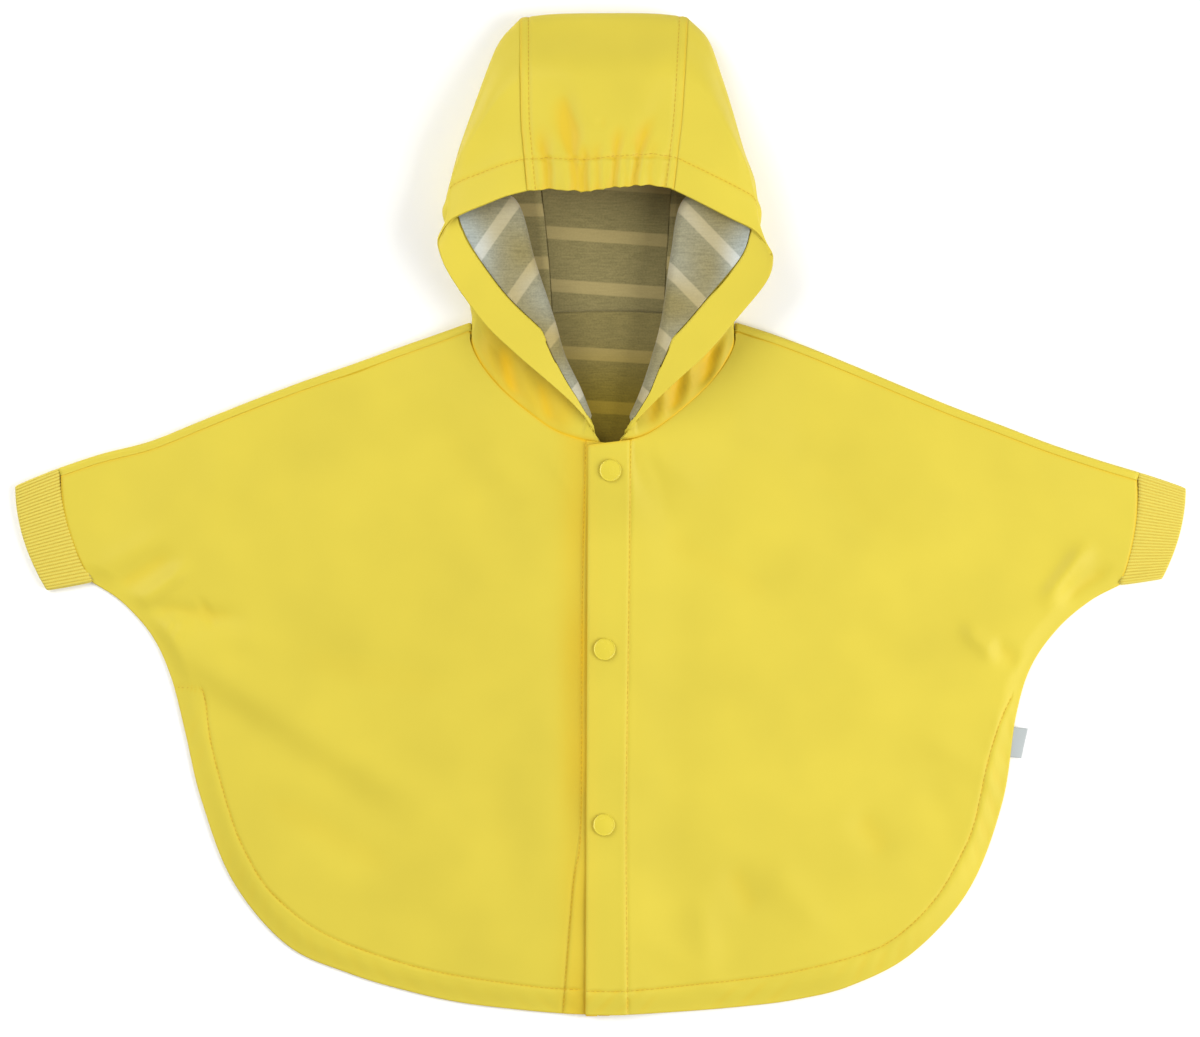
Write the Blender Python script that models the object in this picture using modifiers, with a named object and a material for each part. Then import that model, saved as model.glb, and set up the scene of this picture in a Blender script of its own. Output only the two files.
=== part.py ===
"""A small child's hooded rain cape, laid flat on its back with the hood's front edge turned out.

Every table and size is in millimetres, with x to the right, y towards the hood and z up from the table top.
A sheet of cloth is an open grid of points on its outer face, thickened inwards from there.
"""

import math

import bpy
import numpy as np

MM = 0.001

# Driving sizes
CLOTH = 1.0  # coated outer cloth, one layer
LINING = 1.0  # striped jersey lining
KNIT = 1.4  # rib knit of the cuffs, under the ribs
RIB_DEPTH = 0.6
RIBS_AROUND = 68
GAP = 0.3  # between pieces at a seam, and between layers
HALF_GAP = GAP / 2
UNDER_CLOTH = 1.42  # from the shell's outer face to the lining's face
EDGE_Z = 1.3  # underside of a front where it lies on the back
CHEST_Z = 3.6  # underside of a front away from its edges
EDGE_REACH = 12.0  # how fast the front drops to the back at its edge
SEAM_DROP = 5.0  # the overarm seam lies this far down the front from the fold
NECK_REACH = 60.0  # how far down the front the raised neck is felt
BAND_LIFT = 2.4  # the overlapping front lies this much higher
BAND_SLOPE = 14.0  # and comes down to the chest over this width
FACING_WIDTH = 21.0  # turned-in strip inside the hood's front edge
SNAP_RADIUS = 6.6
SNAP_HEIGHT = 2.8

# The neck seam on the front: a superellipse from shoulder to shoulder
NECK_X, NECK_Y = 1.4, 106.2
NECK_HALF_WIDTH, NECK_DEPTH, NECK_POWER = 79.4, 63.0, 1.5
NECK_SHOULDER_Z, NECK_FRONT_Z = 7.6, 11.5
BACK_NECK_Y, BACK_NECK_DIP = 122.4, 6.0
HOOD_ENDS = (-0.3, 11.7)  # x of the two front corners of the hood

SHOULDER = 9  # the row of each wing table that ends at the neck

# One row for each section of a wing: a point on the overarm fold, and its partner on the underarm, side
# or hem
WING_COLUMNS = ("fold_x", "fold_y", "edge_x", "edge_y")
LEFT_WING = (
    (-325.0, 28.4, -305.0, -39.9),
    (-300.0, 36.7, -287.0, -51.8),
    (-270.0, 44.5, -269.0, -72.0),
    (-240.0, 56.5, -257.5, -97.0),
    (-210.0, 68.5, -249.0, -130.0),
    (-180.0, 79.8, -239.5, -170.0),
    (-150.0, 90.2, -220.6, -219.0),
    (-120.0, 101.0, -188.2, -257.4),
    (-97.0, 109.0, -150.0, -274.8),
    (-77.6, 116.0, -114.0, -285.5),
)
RIGHT_WING = (
    (323.0, 25.9, 311.5, -41.6),
    (300.0, 32.8, 293.0, -51.6),
    (270.0, 42.8, 274.0, -68.0),
    (240.0, 54.2, 258.0, -91.0),
    (210.0, 65.6, 249.0, -121.0),
    (180.0, 78.0, 241.0, -172.0),
    (150.0, 90.6, 221.0, -224.2),
    (123.0, 101.5, 187.0, -262.4),
    (101.0, 109.5, 150.0, -282.0),
    (80.8, 116.0, 117.0, -290.3),
)
# The hem from below the shoulder to the front edge: the last rows are the band's stitch line and its edge
HEM_COLUMNS = ("hem_x", "hem_y")
LEFT_HEM = ((-84.0, -292.0), (-52.0, -296.0), (-19.8, -298.8), (6.0, -299.4))
RIGHT_HEM = ((86.0, -294.3), (52.0, -297.2), (16.8, -299.2), (-9.0, -299.4))
# The top of each front's band, at its stitch line and at its edge
LEFT_BAND_TOP = ((-10.5, 43.6), (15.0, 42.6))
RIGHT_BAND_TOP = ((16.2, 45.2), (-7.5, 42.6))

# Soft folds of the fronts along lines: a ridge where height is above 0, or else a trough
FOLD_COLUMNS = ("x1", "y1", "x2", "y2", "half_width", "height")
LEFT_FOLDS = (
    (-290.0, -42.0, -250.0, -21.0, 8.0, -1.3),
    (-276.0, -60.0, -216.0, -62.0, 8.0, -1.3),
    (-262.0, -76.0, -250.0, -62.0, 7.0, 0.9),
    (-258.0, -84.0, -116.0, -174.0, 17.0, 1.3),
    (-205.0, -168.0, -120.0, -215.0, 14.0, -1.0),
    (-238.0, 20.0, -196.0, 12.0, 14.0, 0.9),
)
RIGHT_FOLDS = (
    (281.0, -44.0, 298.0, -14.0, 9.0, -1.3),
    (258.0, -38.0, 284.0, -56.0, 8.0, 1.1),
    (229.0, -80.0, 244.0, -94.0, 9.0, -1.2),
    (216.0, -66.0, 228.0, -94.0, 8.0, 1.1),
    (78.0, -212.0, 92.0, -238.0, 10.0, -1.2),
    (154.0, -180.0, 171.0, -203.0, 10.0, -1.2),
    (60.0, -230.0, 64.0, -270.0, 9.0, 1.1),
    (104.0, -210.0, 130.0, -245.0, 10.0, 1.1),
)

# One row for each section of the hood's side, from crown to neck. It leaves the centre panel's seam, lies on
# the table to the turn, comes back over itself to the roll and ends at the rim. fold is 1 where the rim is
# turned right out, and neck is 1 where the section follows the neck seam
HOOD_COLUMNS = ("seam", "turn", "roll", "rim", "fold", "neck")
HOOD_LEFT = (
    ((-44.0, 288.0, 1.5), (-49.5, 296.2, 10.0), (-47.5, 243.0, 35.0), (-43.5, 192.5, 39.5), 0.0, 0.0),
    ((-43.5, 277.0, 0.0), (-61.0, 281.0, 9.5), (-60.0, 232.0, 34.5), (-57.0, 189.0, 39.0), 0.0, 0.0),
    ((-42.5, 262.0, 0.0), (-69.2, 263.0, 9.0), (-72.0, 218.0, 34.0), (-69.0, 184.3, 38.0), 0.0, 0.0),
    ((-41.0, 243.0, 0.0), (-77.6, 240.0, 9.0), (-83.0, 205.0, 33.0), (-80.0, 180.0, 37.0), 0.0, 0.0),
    ((-39.0, 224.0, 0.0), (-85.3, 217.0, 9.0), (-90.0, 193.0, 30.0), (-89.5, 175.0, 36.0), 0.1, 0.0),
    ((-37.0, 208.0, 0.0), (-90.0, 200.0, 8.5), (-85.0, 185.0, 25.0), (-96.5, 165.0, 34.0), 0.6, 0.0),
    ((-35.5, 198.0, 0.0), (-92.6, 189.0, 8.5), (-70.0, 188.0, 24.0), (-95.0, 154.0, 32.0), 1.0, 0.0),
    ((-34.5, 188.0, 0.0), (-94.4, 179.0, 8.5), (-51.5, 186.0, 24.0), (-87.5, 139.2, 30.0), 1.0, 0.0),
    ((-31.5, 161.0, 0.0), (-86.0, 156.0, 8.0), (-40.5, 150.0, 24.0), (-69.5, 114.5, 28.0), 1.0, 0.1),
    ((-29.5, 134.0, 0.0), (-80.0, 133.0, 7.0), (-29.5, 117.0, 23.0), (-51.0, 96.6, 27.0), 1.0, 0.3),
    ((-29.0, 126.5, 0.0), (-78.3, 126.0, 6.0), (-23.0, 95.0, 21.0), (-34.0, 82.0, 25.0), 1.0, 0.6),
    ((-28.9, 123.9, 0.0), (-77.4, 121.5, 5.0), (-14.0, 76.0, 17.5), (-19.5, 69.5, 20.5), 0.9, 0.85),
    ((-28.9, 122.9, 0.0), (-77.0, 118.6, 4.4), (-7.5, 60.0, 14.0), (-9.8, 58.8, 16.0), 0.6, 0.95),
)
HOOD_RIGHT = (
    ((47.0, 288.0, 1.5), (54.8, 296.4, 10.0), (49.0, 243.0, 35.0), (43.5, 193.0, 39.5), 0.0, 0.0),
    ((47.0, 277.0, 0.0), (66.4, 281.5, 9.5), (61.0, 232.0, 34.5), (55.0, 187.5, 39.0), 0.0, 0.0),
    ((46.5, 262.0, 0.0), (72.5, 263.0, 9.0), (72.5, 218.0, 34.0), (67.0, 181.5, 38.0), 0.0, 0.0),
    ((45.5, 243.0, 0.0), (79.0, 242.0, 9.0), (83.0, 205.0, 33.0), (79.0, 175.5, 37.0), 0.0, 0.0),
    ((44.0, 224.0, 0.0), (86.0, 218.0, 9.0), (91.0, 193.0, 30.0), (91.0, 169.5, 36.0), 0.1, 0.0),
    ((43.0, 208.0, 0.0), (92.0, 202.0, 8.5), (90.0, 184.0, 25.0), (99.5, 160.0, 34.0), 0.6, 0.0),
    ((42.5, 198.0, 0.0), (94.0, 190.0, 8.5), (73.0, 187.0, 24.0), (102.6, 152.0, 32.0), 1.0, 0.0),
    ((41.7, 188.0, 0.0), (96.4, 179.0, 8.5), (51.0, 187.0, 24.0), (98.5, 138.5, 30.0), 1.0, 0.0),
    ((40.0, 161.0, 0.0), (91.5, 156.0, 8.0), (43.5, 153.0, 24.0), (81.1, 117.0, 28.0), 1.0, 0.1),
    ((38.5, 134.0, 0.0), (84.0, 133.0, 7.0), (38.5, 118.0, 23.0), (63.3, 96.3, 27.0), 1.0, 0.3),
    ((38.1, 126.5, 0.0), (81.5, 126.0, 6.0), (33.0, 96.0, 21.0), (46.0, 80.5, 25.0), 1.0, 0.6),
    ((38.0, 123.9, 0.0), (80.5, 121.5, 5.0), (26.0, 74.5, 17.5), (32.1, 67.5, 20.5), 0.9, 0.85),
    ((38.0, 122.9, 0.0), (80.1, 118.6, 4.4), (19.5, 59.5, 14.0), (22.5, 57.5, 16.0), 0.6, 0.95),
)
ROLL_ARC = 4.4  # half the length of cloth in the roll, where the rim turns out
# Cells of a section: on the table, in each half of the turn, back over it, in each half of the roll, from
# there to the facing, and on the facing
FLOOR_CELLS, TURN_CELLS, MIDDLE_CELLS = 4, 2, 4
ROLL_CELLS, TOP_CELLS, FACING_CELLS = 2, 3, 2
LINING_ROW = 3  # the lining is built from this section of the hood to its neck

# Gathers of the elastic at the top of the hood's opening, across the centre panel
GATHER_COLUMNS = ("across", "depth")
GATHERS = (
    (0.08, 0.9), (0.20, 1.3), (0.31, 1.6), (0.42, 1.5), (0.53, 1.3),
    (0.65, 1.5), (0.78, 1.6), (0.91, 1.0),
)
GATHER_FADE = 46.0  # the gathers die away this far above the rim

# Cuffs: the seam to the sleeve and the open edge, each from its overarm end to its underarm end, and their
# bow, which is that of the sleeve's end too
CUFF_COLUMNS = ("seam_top", "seam_low", "edge_top", "edge_low", "bow")
LEFT_CUFF = ((-325.3, 28.3), (-305.3, -40.2), (-350.6, 17.9), (-331.6, -45.0), 4.8)
RIGHT_CUFF = ((323.3, 25.8), (311.8, -41.8), (350.6, 16.6), (336.3, -38.2), 3.6)
SLEEVE_HEIGHT = CHEST_Z + CLOTH

SNAP_COLUMNS = ("name", "x", "y")
SNAPS = (
    ("snap_cap_top", 5.9, 26.9),
    ("snap_cap_middle", 2.4, -80.1),
    ("snap_cap_low", 2.1, -185.1),
)
# A cap's outline from its under side to its crown: shares of its radius, and heights over the band
SNAP_PROFILE_COLUMNS = ("reach", "lift")
SNAP_PROFILE = ((1.0, 0.35), (1.0, 1.1), (0.93, 1.6), (0.8, 1.55), (0.7, 2.1), (0.4, 2.65))
LABEL_Y = (-126.8, -144.6)
LABEL_WIDTH = (7.4, 5.6)

# Colours are linear
YELLOW = (0.80, 0.68, 0.085)
PALE_YELLOW = (0.82, 0.70, 0.14)
HEATHER = (0.27, 0.30, 0.31)
GREY = (0.45, 0.50, 0.51)


def grid_quads(rows, cols, flip):
    index = np.arange(rows * cols).reshape(rows, cols)
    quads = np.stack([index[:-1, :-1], index[1:, :-1], index[1:, 1:], index[:-1, 1:]], axis=-1)
    return quads[..., ::-1] if flip else quads


def catmull(rows, t):
    """Points on the Catmull-Rom curve through rows (first axis) at the parameters t, which run from 0."""
    rows = np.asarray(rows, float)
    t = np.clip(np.asarray(t, float), 0, len(rows) - 1)
    i = np.minimum(t.astype(int), len(rows) - 2)
    f = (t - i).reshape((-1,) + (1,) * (rows.ndim - 1))
    ends = np.concatenate([2 * rows[:1] - rows[1:2], rows, 2 * rows[-1:] - rows[-2:-1]])
    a, b, c, d = (ends[i + k] for k in range(4))
    return b + 0.5 * f * (c - a + f * (2 * a - 5 * b + 4 * c - d + f * (3 * (b - c) + d - a)))


def smooth(x):
    x = np.clip(x, 0, 1)
    return x * x * (3 - 2 * x)


def unit(v):
    v = np.asarray(v, float)
    return v / np.maximum(np.linalg.norm(v, axis=-1, keepdims=True), 1e-9)


def arc_lengths(line):
    return np.concatenate([[0], np.cumsum(np.linalg.norm(np.diff(line, axis=0), axis=1))])


def at_fractions(line, fractions):
    """Points of a polyline at fractions of its length."""
    run = arc_lengths(line)
    where = np.asarray(fractions) * run[-1]
    return np.stack([np.interp(where, run, line[:, k]) for k in range(line.shape[1])], axis=1)


# ---- The neck seam ----


def neck_line(side, inset=0.0):
    """The neck seam on the front, from a shoulder (side -1 or 1) to the front, inset towards the opening."""
    angle = np.linspace(0, math.pi / 2, 61)
    p = 2 / NECK_POWER
    a, b = NECK_HALF_WIDTH, NECK_DEPTH
    plan = np.stack(
        [NECK_X + side * a * np.cos(angle) ** p, NECK_Y - b * np.sin(angle) ** p], axis=1
    )
    plan = np.concatenate([[[plan[0, 0] - side * 0.2, NECK_Y + SEAM_DROP]], plan])
    end = HOOD_ENDS[0] if side < 0 else HOOD_ENDS[1]
    end_y = np.interp(end * side, (plan[:, 0] * side)[::-1], plan[::-1, 1])
    keep = side * (plan[:, 0] - end) > 0.05
    plan = np.concatenate([plan[keep], [[end, end_y]]])
    along = np.gradient(plan, axis=0)
    inward = unit(np.stack([-along[:, 1], along[:, 0]], axis=1) * -side)
    plan = plan + inset * inward
    z = np.interp(plan[:, 1], (43.0, 112.0), (NECK_FRONT_Z, NECK_SHOULDER_Z))
    return np.column_stack([plan, z])


def neck_opening():
    return np.concatenate([neck_line(-1), neck_line(1)[::-1]])


def neck_raise(x, y):
    """How far the neck lifts a front at plan points, fading down the chest."""
    line = neck_opening()[::3]
    gap = np.hypot(x[..., None] - line[:, 0], y[..., None] - line[:, 1]).min(axis=-1)
    top = np.interp(y, (43.0, 112.0), (NECK_FRONT_Z, NECK_SHOULDER_Z)) - CLOTH - CHEST_Z
    return top * (0.5 + 0.5 * np.cos(math.pi * np.clip(gap / NECK_REACH, 0, 1)))


def soft_folds(x, y, table):
    """The summed height of the soft folds at plan points."""
    total = np.zeros_like(x)
    for x1, y1, x2, y2, half_width, height in table:
        along = np.array([x2 - x1, y2 - y1])
        length = np.hypot(*along)
        s = ((x - x1) * along[0] + (y - y1) * along[1]) / length**2
        across = ((x - x1) * along[1] - (y - y1) * along[0]) / length
        ends = smooth((s + 0.25) / 0.5) * smooth((1.25 - s) / 0.5)
        total += height * ends * np.exp(-((across / half_width) ** 2))
    return total


def underside(x, y, to_edge, table):
    """Height of a front's underside at plan points that lie to_edge from the underarm, side or hem."""
    rise = smooth(to_edge / EDGE_REACH) * (CHEST_Z - EDGE_Z + neck_raise(x, y))
    return EDGE_Z + rise + smooth(to_edge / 30) * soft_folds(x, y, table)


def band_share(x, y, side):
    """1 on a front's turned-in band and 0 elsewhere."""
    if side < 0:
        line = np.interp(y, (LEFT_HEM[2][1], 44.0), (LEFT_HEM[2][0], LEFT_BAND_TOP[0][0]))
    else:
        line = np.interp(y, (RIGHT_HEM[2][1], 45.0), (RIGHT_HEM[2][0], RIGHT_BAND_TOP[0][0]))
    return smooth((line - x) * side / 1.6 + 0.5)


def band_lift(x, y):
    """How far the overlapping front is lifted by the band below it."""
    edge = np.interp(y, (-299.4, 42.6), (LEFT_HEM[3][0], LEFT_BAND_TOP[1][0]))
    return BAND_LIFT * smooth((edge + 6.0 + BAND_SLOPE - x) / BAND_SLOPE)


# ---- The body's pieces ----


def wing_line(side):
    """The overarm fold and its partner edge, as tables of plan points for the row parameter."""
    table = np.array(LEFT_WING if side < 0 else RIGHT_WING)
    return table[:, :2], table[:, 2:]


def seam_points(side, a):
    """Points of the overarm seam on the front at the row parameters a, from 0 at the cuff to SHOULDER."""
    fold, edge = wing_line(side)
    points = catmull(fold, a)
    ahead = catmull(fold, np.asarray(a) + 0.02) - catmull(fold, np.asarray(a) - 0.02)
    inward = unit(np.stack([ahead[:, 1], -ahead[:, 0]], axis=1) * -side)
    inward *= np.sign(((catmull(edge, a) - points) * inward).sum(axis=1, keepdims=True))
    level = smooth(np.asarray(a) - SHOULDER + 1)[:, None]
    return points, unit(inward * (1 - level) + np.array([0, -1.0]) * level)


def cuff_bow(side, a, t):
    """Plan shift of the sleeve near its cuff seam, which bows outwards."""
    bow = (LEFT_CUFF if side < 0 else RIGHT_CUFF)[4]
    return side * bow * 4 * t * (1 - t) * smooth(1 - a / 1.5)


def front_grid(side):
    """A front as a grid of outer points, stations from cuff to front edge and rows from seam to hem."""
    folds = LEFT_FOLDS if side < 0 else RIGHT_FOLDS
    hem = np.array(LEFT_HEM if side < 0 else RIGHT_HEM)
    top = np.array(LEFT_BAND_TOP if side < 0 else RIGHT_BAND_TOP)
    fold, edge = wing_line(side)
    low_table = np.concatenate([edge, hem])
    wing_a = np.linspace(0.004, SHOULDER, 15)
    chest_a = np.concatenate([np.linspace(9.3, 11.72, 9), [11.9, 11.97, 12.03, 12.5, 12.994]])
    points, inward = seam_points(side, wing_a)
    seam = points + inward * (SEAM_DROP + HALF_GAP)
    line = neck_line(side, -HALF_GAP)[:, :2]
    keep = side * (line[:, 0] - top[0, 0]) > 3.0
    line = np.concatenate([line[keep], top[:1] - [0, HALF_GAP]])
    neck = at_fractions(line, np.clip((chest_a - SHOULDER) / 3, 0, 1))
    over = chest_a > 12
    neck[over] = catmull(top - [0, HALF_GAP], chest_a[over] - 12)
    upper = np.concatenate([seam, neck])
    a = np.concatenate([wing_a, chest_a])
    lower = catmull(low_table, a)
    across = np.array([0, 0.03, 0.1, 0.2, 0.31, 0.43, 0.55, 0.67, 0.79, 0.9, 0.96, 1.0])
    plan = upper[:, None] + (lower - upper)[:, None] * across[:, None]
    plan[..., 0] += cuff_bow(side, a[:, None], across)
    to_edge = (1 - across) * np.linalg.norm(lower - upper, axis=1)[:, None]
    x, y = plan[..., 0], plan[..., 1]
    under = underside(x, y, to_edge, folds)
    share = band_share(x, y, side)
    if side > 0:
        under = under + band_lift(x, y)
    grid = np.dstack([x, y, under + CLOTH * (1 + share)])
    return grid, 0.5 + 0.5 * share


def front_top(x, y):
    """Height of the overlapping front's outer face at plan points of its band."""
    to_edge = np.abs(y + 299.0)
    return underside(x, y, to_edge, RIGHT_FOLDS) + band_lift(x, y) + CLOTH * (1 + band_share(x, y, 1))


def back_neck(x):
    return BACK_NECK_Y - BACK_NECK_DIP * ((x - NECK_X) / NECK_HALF_WIDTH) ** 2


def back_grid():
    """The back: stations from cuff to cuff, rows from the hem over the floor and round the overarm fold."""
    halves = []
    floor = 1 - np.array([0.0, 0.04, 0.14, 0.3, 0.46, 0.62, 0.78, 0.91, 1.0])
    for side in (-1, 1):
        a = np.linspace(0.004, SHOULDER, 15)
        fold, edge = wing_line(side)
        points, inward = seam_points(side, a)
        seam = points + inward * SEAM_DROP
        far = np.full(len(a), 99.0)
        folds = LEFT_FOLDS if side < 0 else RIGHT_FOLDS
        top_z = underside(seam[:, 0], seam[:, 1], far, folds) + CLOTH
        r = top_z / 2
        start = points + inward * r[:, None]
        low = catmull(edge, a)
        rows = [np.column_stack([start + (low - start) * t, 0 * r]) for t in floor]
        for angle in (40, 90, 140, 180):
            c, s = math.cos(math.radians(angle)), math.sin(math.radians(angle))
            rows.append(np.column_stack([points + inward * (r * (1 - s))[:, None], r * (1 - c)]))
        rows.append(np.column_stack([seam - inward * HALF_GAP, top_z]))
        grid = np.stack(rows, axis=1)
        t = np.concatenate([floor, np.zeros(5)])
        grid[..., 0] += cuff_bow(side, a[:, None], t)
        halves.append(grid)
    left, right = halves
    neck_x = np.linspace(-71.0, 74.0, 11)
    top = np.column_stack([neck_x, back_neck(neck_x)])
    hem = [LEFT_WING[-1][2:], *LEFT_HEM[:3], (-1.5, -299.4), *RIGHT_HEM[2::-1], RIGHT_WING[-1][2:]]
    low = catmull(hem, np.linspace(0.5, len(hem) - 1.5, len(neck_x)))
    middle = np.zeros((len(neck_x), left.shape[1], 3))
    flat = top[:, None] + (low - top)[:, None] * floor[:, None]
    middle[:, : len(floor), :2] = flat
    middle[:, len(floor) :] = middle[:, len(floor) - 1 : len(floor)]
    grid = np.concatenate([left, middle, right[::-1]])
    cells = np.ones((grid.shape[0] - 1, grid.shape[1] - 1), bool)
    cells[len(left) - 1 : len(left) + len(middle), len(floor) - 1 :] = False
    return grid, cells


# ---- The hood ----


def hermite(a, a_way, b, b_way, count):
    """Points on the cubic from a to b that leaves along a_way and arrives along b_way, without its end."""
    t = np.arange(count)[:, None] / count
    length = np.linalg.norm(b - a)
    a_way, b_way = unit(a_way) * length, unit(b_way) * length
    h = 2 * t**3 - 3 * t**2
    return (h + 1) * a + (t**3 - 2 * t**2 + t) * a_way - h * b + (t**3 - t**2) * b_way


def hood_section(side, seam, turn, roll, rim, fold, neck):
    """One section of the hood's side on its outer face, from the seam to the rim."""
    up = np.array([0, 0, 1.0])
    plan = np.array([1, 1, 0.0])
    out = unit((turn - seam) * plan)
    back = unit((roll - turn) * plan)
    on = unit(rim - roll)
    radius = turn[2]
    short = min(radius, 0.8 * np.linalg.norm((turn - seam) * plan))
    floor = turn - short * out - radius * up
    top = turn + radius * (0.9 * back + up)
    tilt = unit(back * math.cos(fold * math.pi / 2) + up * math.sin(fold * math.pi / 2))
    share = (0.5 + 0.137 * fold) * min(ROLL_ARC, 0.4 * np.linalg.norm(rim - roll))
    before, after = roll - share * (tilt + back), roll + share * (tilt + on)
    leave = unit(back + neck * 1.2 * np.array([0.0, -1.0, 0]))
    arrive = unit(back + neck * 0.6 * np.array([-side, 0, 0]))
    length = np.linalg.norm(rim - after)
    facing = rim + (after - rim) * min(FACING_WIDTH / length, 0.48 + 0.32 * fold)
    stretches = [
        np.linspace(seam, floor, FLOOR_CELLS + 1)[:-1],
        hermite(floor, out, turn, up, TURN_CELLS),
        hermite(turn, up, top, leave, TURN_CELLS),
        hermite(top, leave, before, arrive, MIDDLE_CELLS),
        hermite(before, arrive, roll, tilt, ROLL_CELLS),
        hermite(roll, tilt, after, on, ROLL_CELLS),
        np.linspace(after, facing, TOP_CELLS + 1)[:-1],
        np.linspace(facing, rim, FACING_CELLS + 1),
    ]
    return np.concatenate(stretches)


def neck_section(side):
    """The hood's neck edge as a section: along the back neck, round the shoulder and down the front."""
    x0 = -28.9 if side < 0 else 38.0
    x1 = NECK_X + side * (NECK_HALF_WIDTH - 7.0)
    x = np.linspace(x0, x1, FLOOR_CELLS + 1)
    floor = np.column_stack([x, back_neck(x) + GAP, 0 * x])
    front = neck_line(side, HALF_GAP)[3:]
    front[:, 0] -= side * 0.7 * smooth((front[:, 1] - 78) / 20)
    turn = np.array([front[0, 0] + side * 0.1, 112.6, 3.9])
    up, out = np.array([0, 0, 1.0]), np.array([side, 0, 0.0])
    down = np.array([0, -1.0, 0])
    rest = 2 * ROLL_CELLS + TOP_CELLS + FACING_CELLS
    where = [np.linspace(0, 0.86, MIDDLE_CELLS + 1), np.linspace(0.86, 1, rest + 1)[1:]]
    stretches = [
        floor[:-1],
        hermite(floor[-1], out, turn, up + 0.5 * down, TURN_CELLS),
        hermite(turn, up, front[0], down, TURN_CELLS),
        at_fractions(front, np.concatenate(where)),
    ]
    return np.concatenate(stretches)


def hood_side_grid(side):
    """The hood's side: stations from crown to neck and rows from the centre panel's seam to the rim."""
    table = HOOD_LEFT if side < 0 else HOOD_RIGHT
    columns = [np.array([row[k] for row in table], float) for k in range(6)]
    v = np.concatenate([np.linspace(0, 5, 6), np.linspace(5.6, 12, 11)])
    seam, turn, roll, rim, fold, neck = (catmull(c, v) for c in columns)
    fold, neck = np.clip(fold, 0, 1), np.clip(neck, 0, 1)
    lines = [hood_section(side, *row) for row in zip(seam, turn, roll, rim, fold, neck)]
    lines.append(neck_section(side))
    grid = np.stack(lines)
    grid[..., 2] = np.maximum(grid[..., 2], 0)
    return grid


def hood_centre_grid(left, right):
    """The hood's centre panel between its sides: stations from the back neck over the crown to the rim."""
    stations = []
    for grid, side in ((left, -1), (right, 1)):
        floor = at_fractions(grid[::-1, 0], np.linspace(0, 1, 6))
        line = np.concatenate([floor, grid[0, 1:]])
        line[:, 0] -= side * 0.8
        stations.append(line)
    across = np.linspace(0, 1, 25)
    a, b = stations
    grid = a[:, None] + (b - a)[:, None] * across[:, None]
    lower_edge = np.array([1, 0.5, 0.2])
    grid[:3, :, 1] += lower_edge[:, None] * (back_neck(grid[0, :, 0]) + GAP - grid[0, :, 1])
    length = arc_lengths(b)
    from_rim = length[-1] - length
    top = smooth((length - 175.0) / 60.0)
    arch = 4 * across * (1 - across)
    grid[..., 2] += 4.0 * top[:, None] * arch
    crown = np.exp(-(((length - 185.0) / 22.0) ** 2))
    grid[..., 1] += 3.2 * crown[:, None] * (1 - (2 * across - 1) ** 4)
    fade = np.clip(1 - from_rim / GATHER_FADE, 0, 1) ** 1.2
    for centre, depth in GATHERS:
        wave = np.exp(-(((across - centre) / 0.028) ** 2))
        grid[..., 2] -= depth * fade[:, None] * wave
    return grid


def lining_centre_grid(centre):
    """The lining of the centre panel, where it lies on the table below the hood's opening."""
    grid = centre[:5, ::4].copy()
    grid[:, 0, 0] -= GAP
    grid[:, -1, 0] += GAP
    grid[..., 2] = UNDER_CLOTH
    return grid


def back_neck_lining_grid():
    """The lining of the back inside the neck: a shield below the back neck seam."""
    x = np.linspace(-60.0, 63.0, 11)
    top = back_neck(x) - HALF_GAP
    low = 20.0 + 62.0 * ((x - NECK_X) / 62.0) ** 2
    t = np.linspace(0, 1, 6)
    y = top[:, None] + (low - top)[:, None] * t
    across = np.repeat(x[:, None], 6, axis=1)
    return np.dstack([across, y, np.full(y.shape, UNDER_CLOTH)])


def grid_normals(grid, flip):
    """Unit normals of a grid of points towards its outer face, which its wall is thickened along."""
    rows, cols = grid.shape[:2]
    mesh = bpy.data.meshes.new("normals")
    quads = grid_quads(rows, cols, flip).reshape(-1, 4)
    mesh.from_pydata((grid.reshape(-1, 3) * MM).tolist(), [], quads.tolist())
    mesh.update()
    normals = np.empty(rows * cols * 3, np.float32)
    mesh.vertices.foreach_get("normal", normals)
    bpy.data.meshes.remove(mesh)
    return normals.reshape(grid.shape)


def layer_below(grid, flip, depth):
    return grid - depth * grid_normals(grid, flip)


def pulled_in(grid, amount, ends):
    """A grid whose named borders are moved in by amount, to leave the gap of a seam."""
    grid = grid.copy()
    for axis, index in ends:
        edge = np.take(grid, index, axis=axis)
        beside = np.take(grid, 1 if index == 0 else -2, axis=axis)
        cell = np.linalg.norm(beside - edge, axis=-1, keepdims=True)
        moved = edge + amount * np.clip(cell / 4, 0.2, 1) * unit(beside - edge)
        if axis == 0:
            grid[index] = moved
        else:
            grid[:, index] = moved
    return grid


# ---- Objects ----


def material(name, colour, roughness):
    mat = bpy.data.materials.new(name)
    mat.use_nodes = True
    shader = mat.node_tree.nodes["Principled BSDF"]
    shader.inputs["Base Color"].default_value = (*colour, 1.0)
    shader.inputs["Roughness"].default_value = roughness
    shader.inputs["Metallic"].default_value = 0.0
    return mat


def mesh_object(name, points, faces, mat):
    mesh = bpy.data.meshes.new(name)
    mesh.from_pydata((np.asarray(points) * MM).tolist(), [], faces)
    mesh.update()
    obj = bpy.data.objects.new(name, mesh)
    obj.data.materials.append(mat)
    bpy.data.collections["rain_cape"].objects.link(obj)
    return obj


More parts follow.
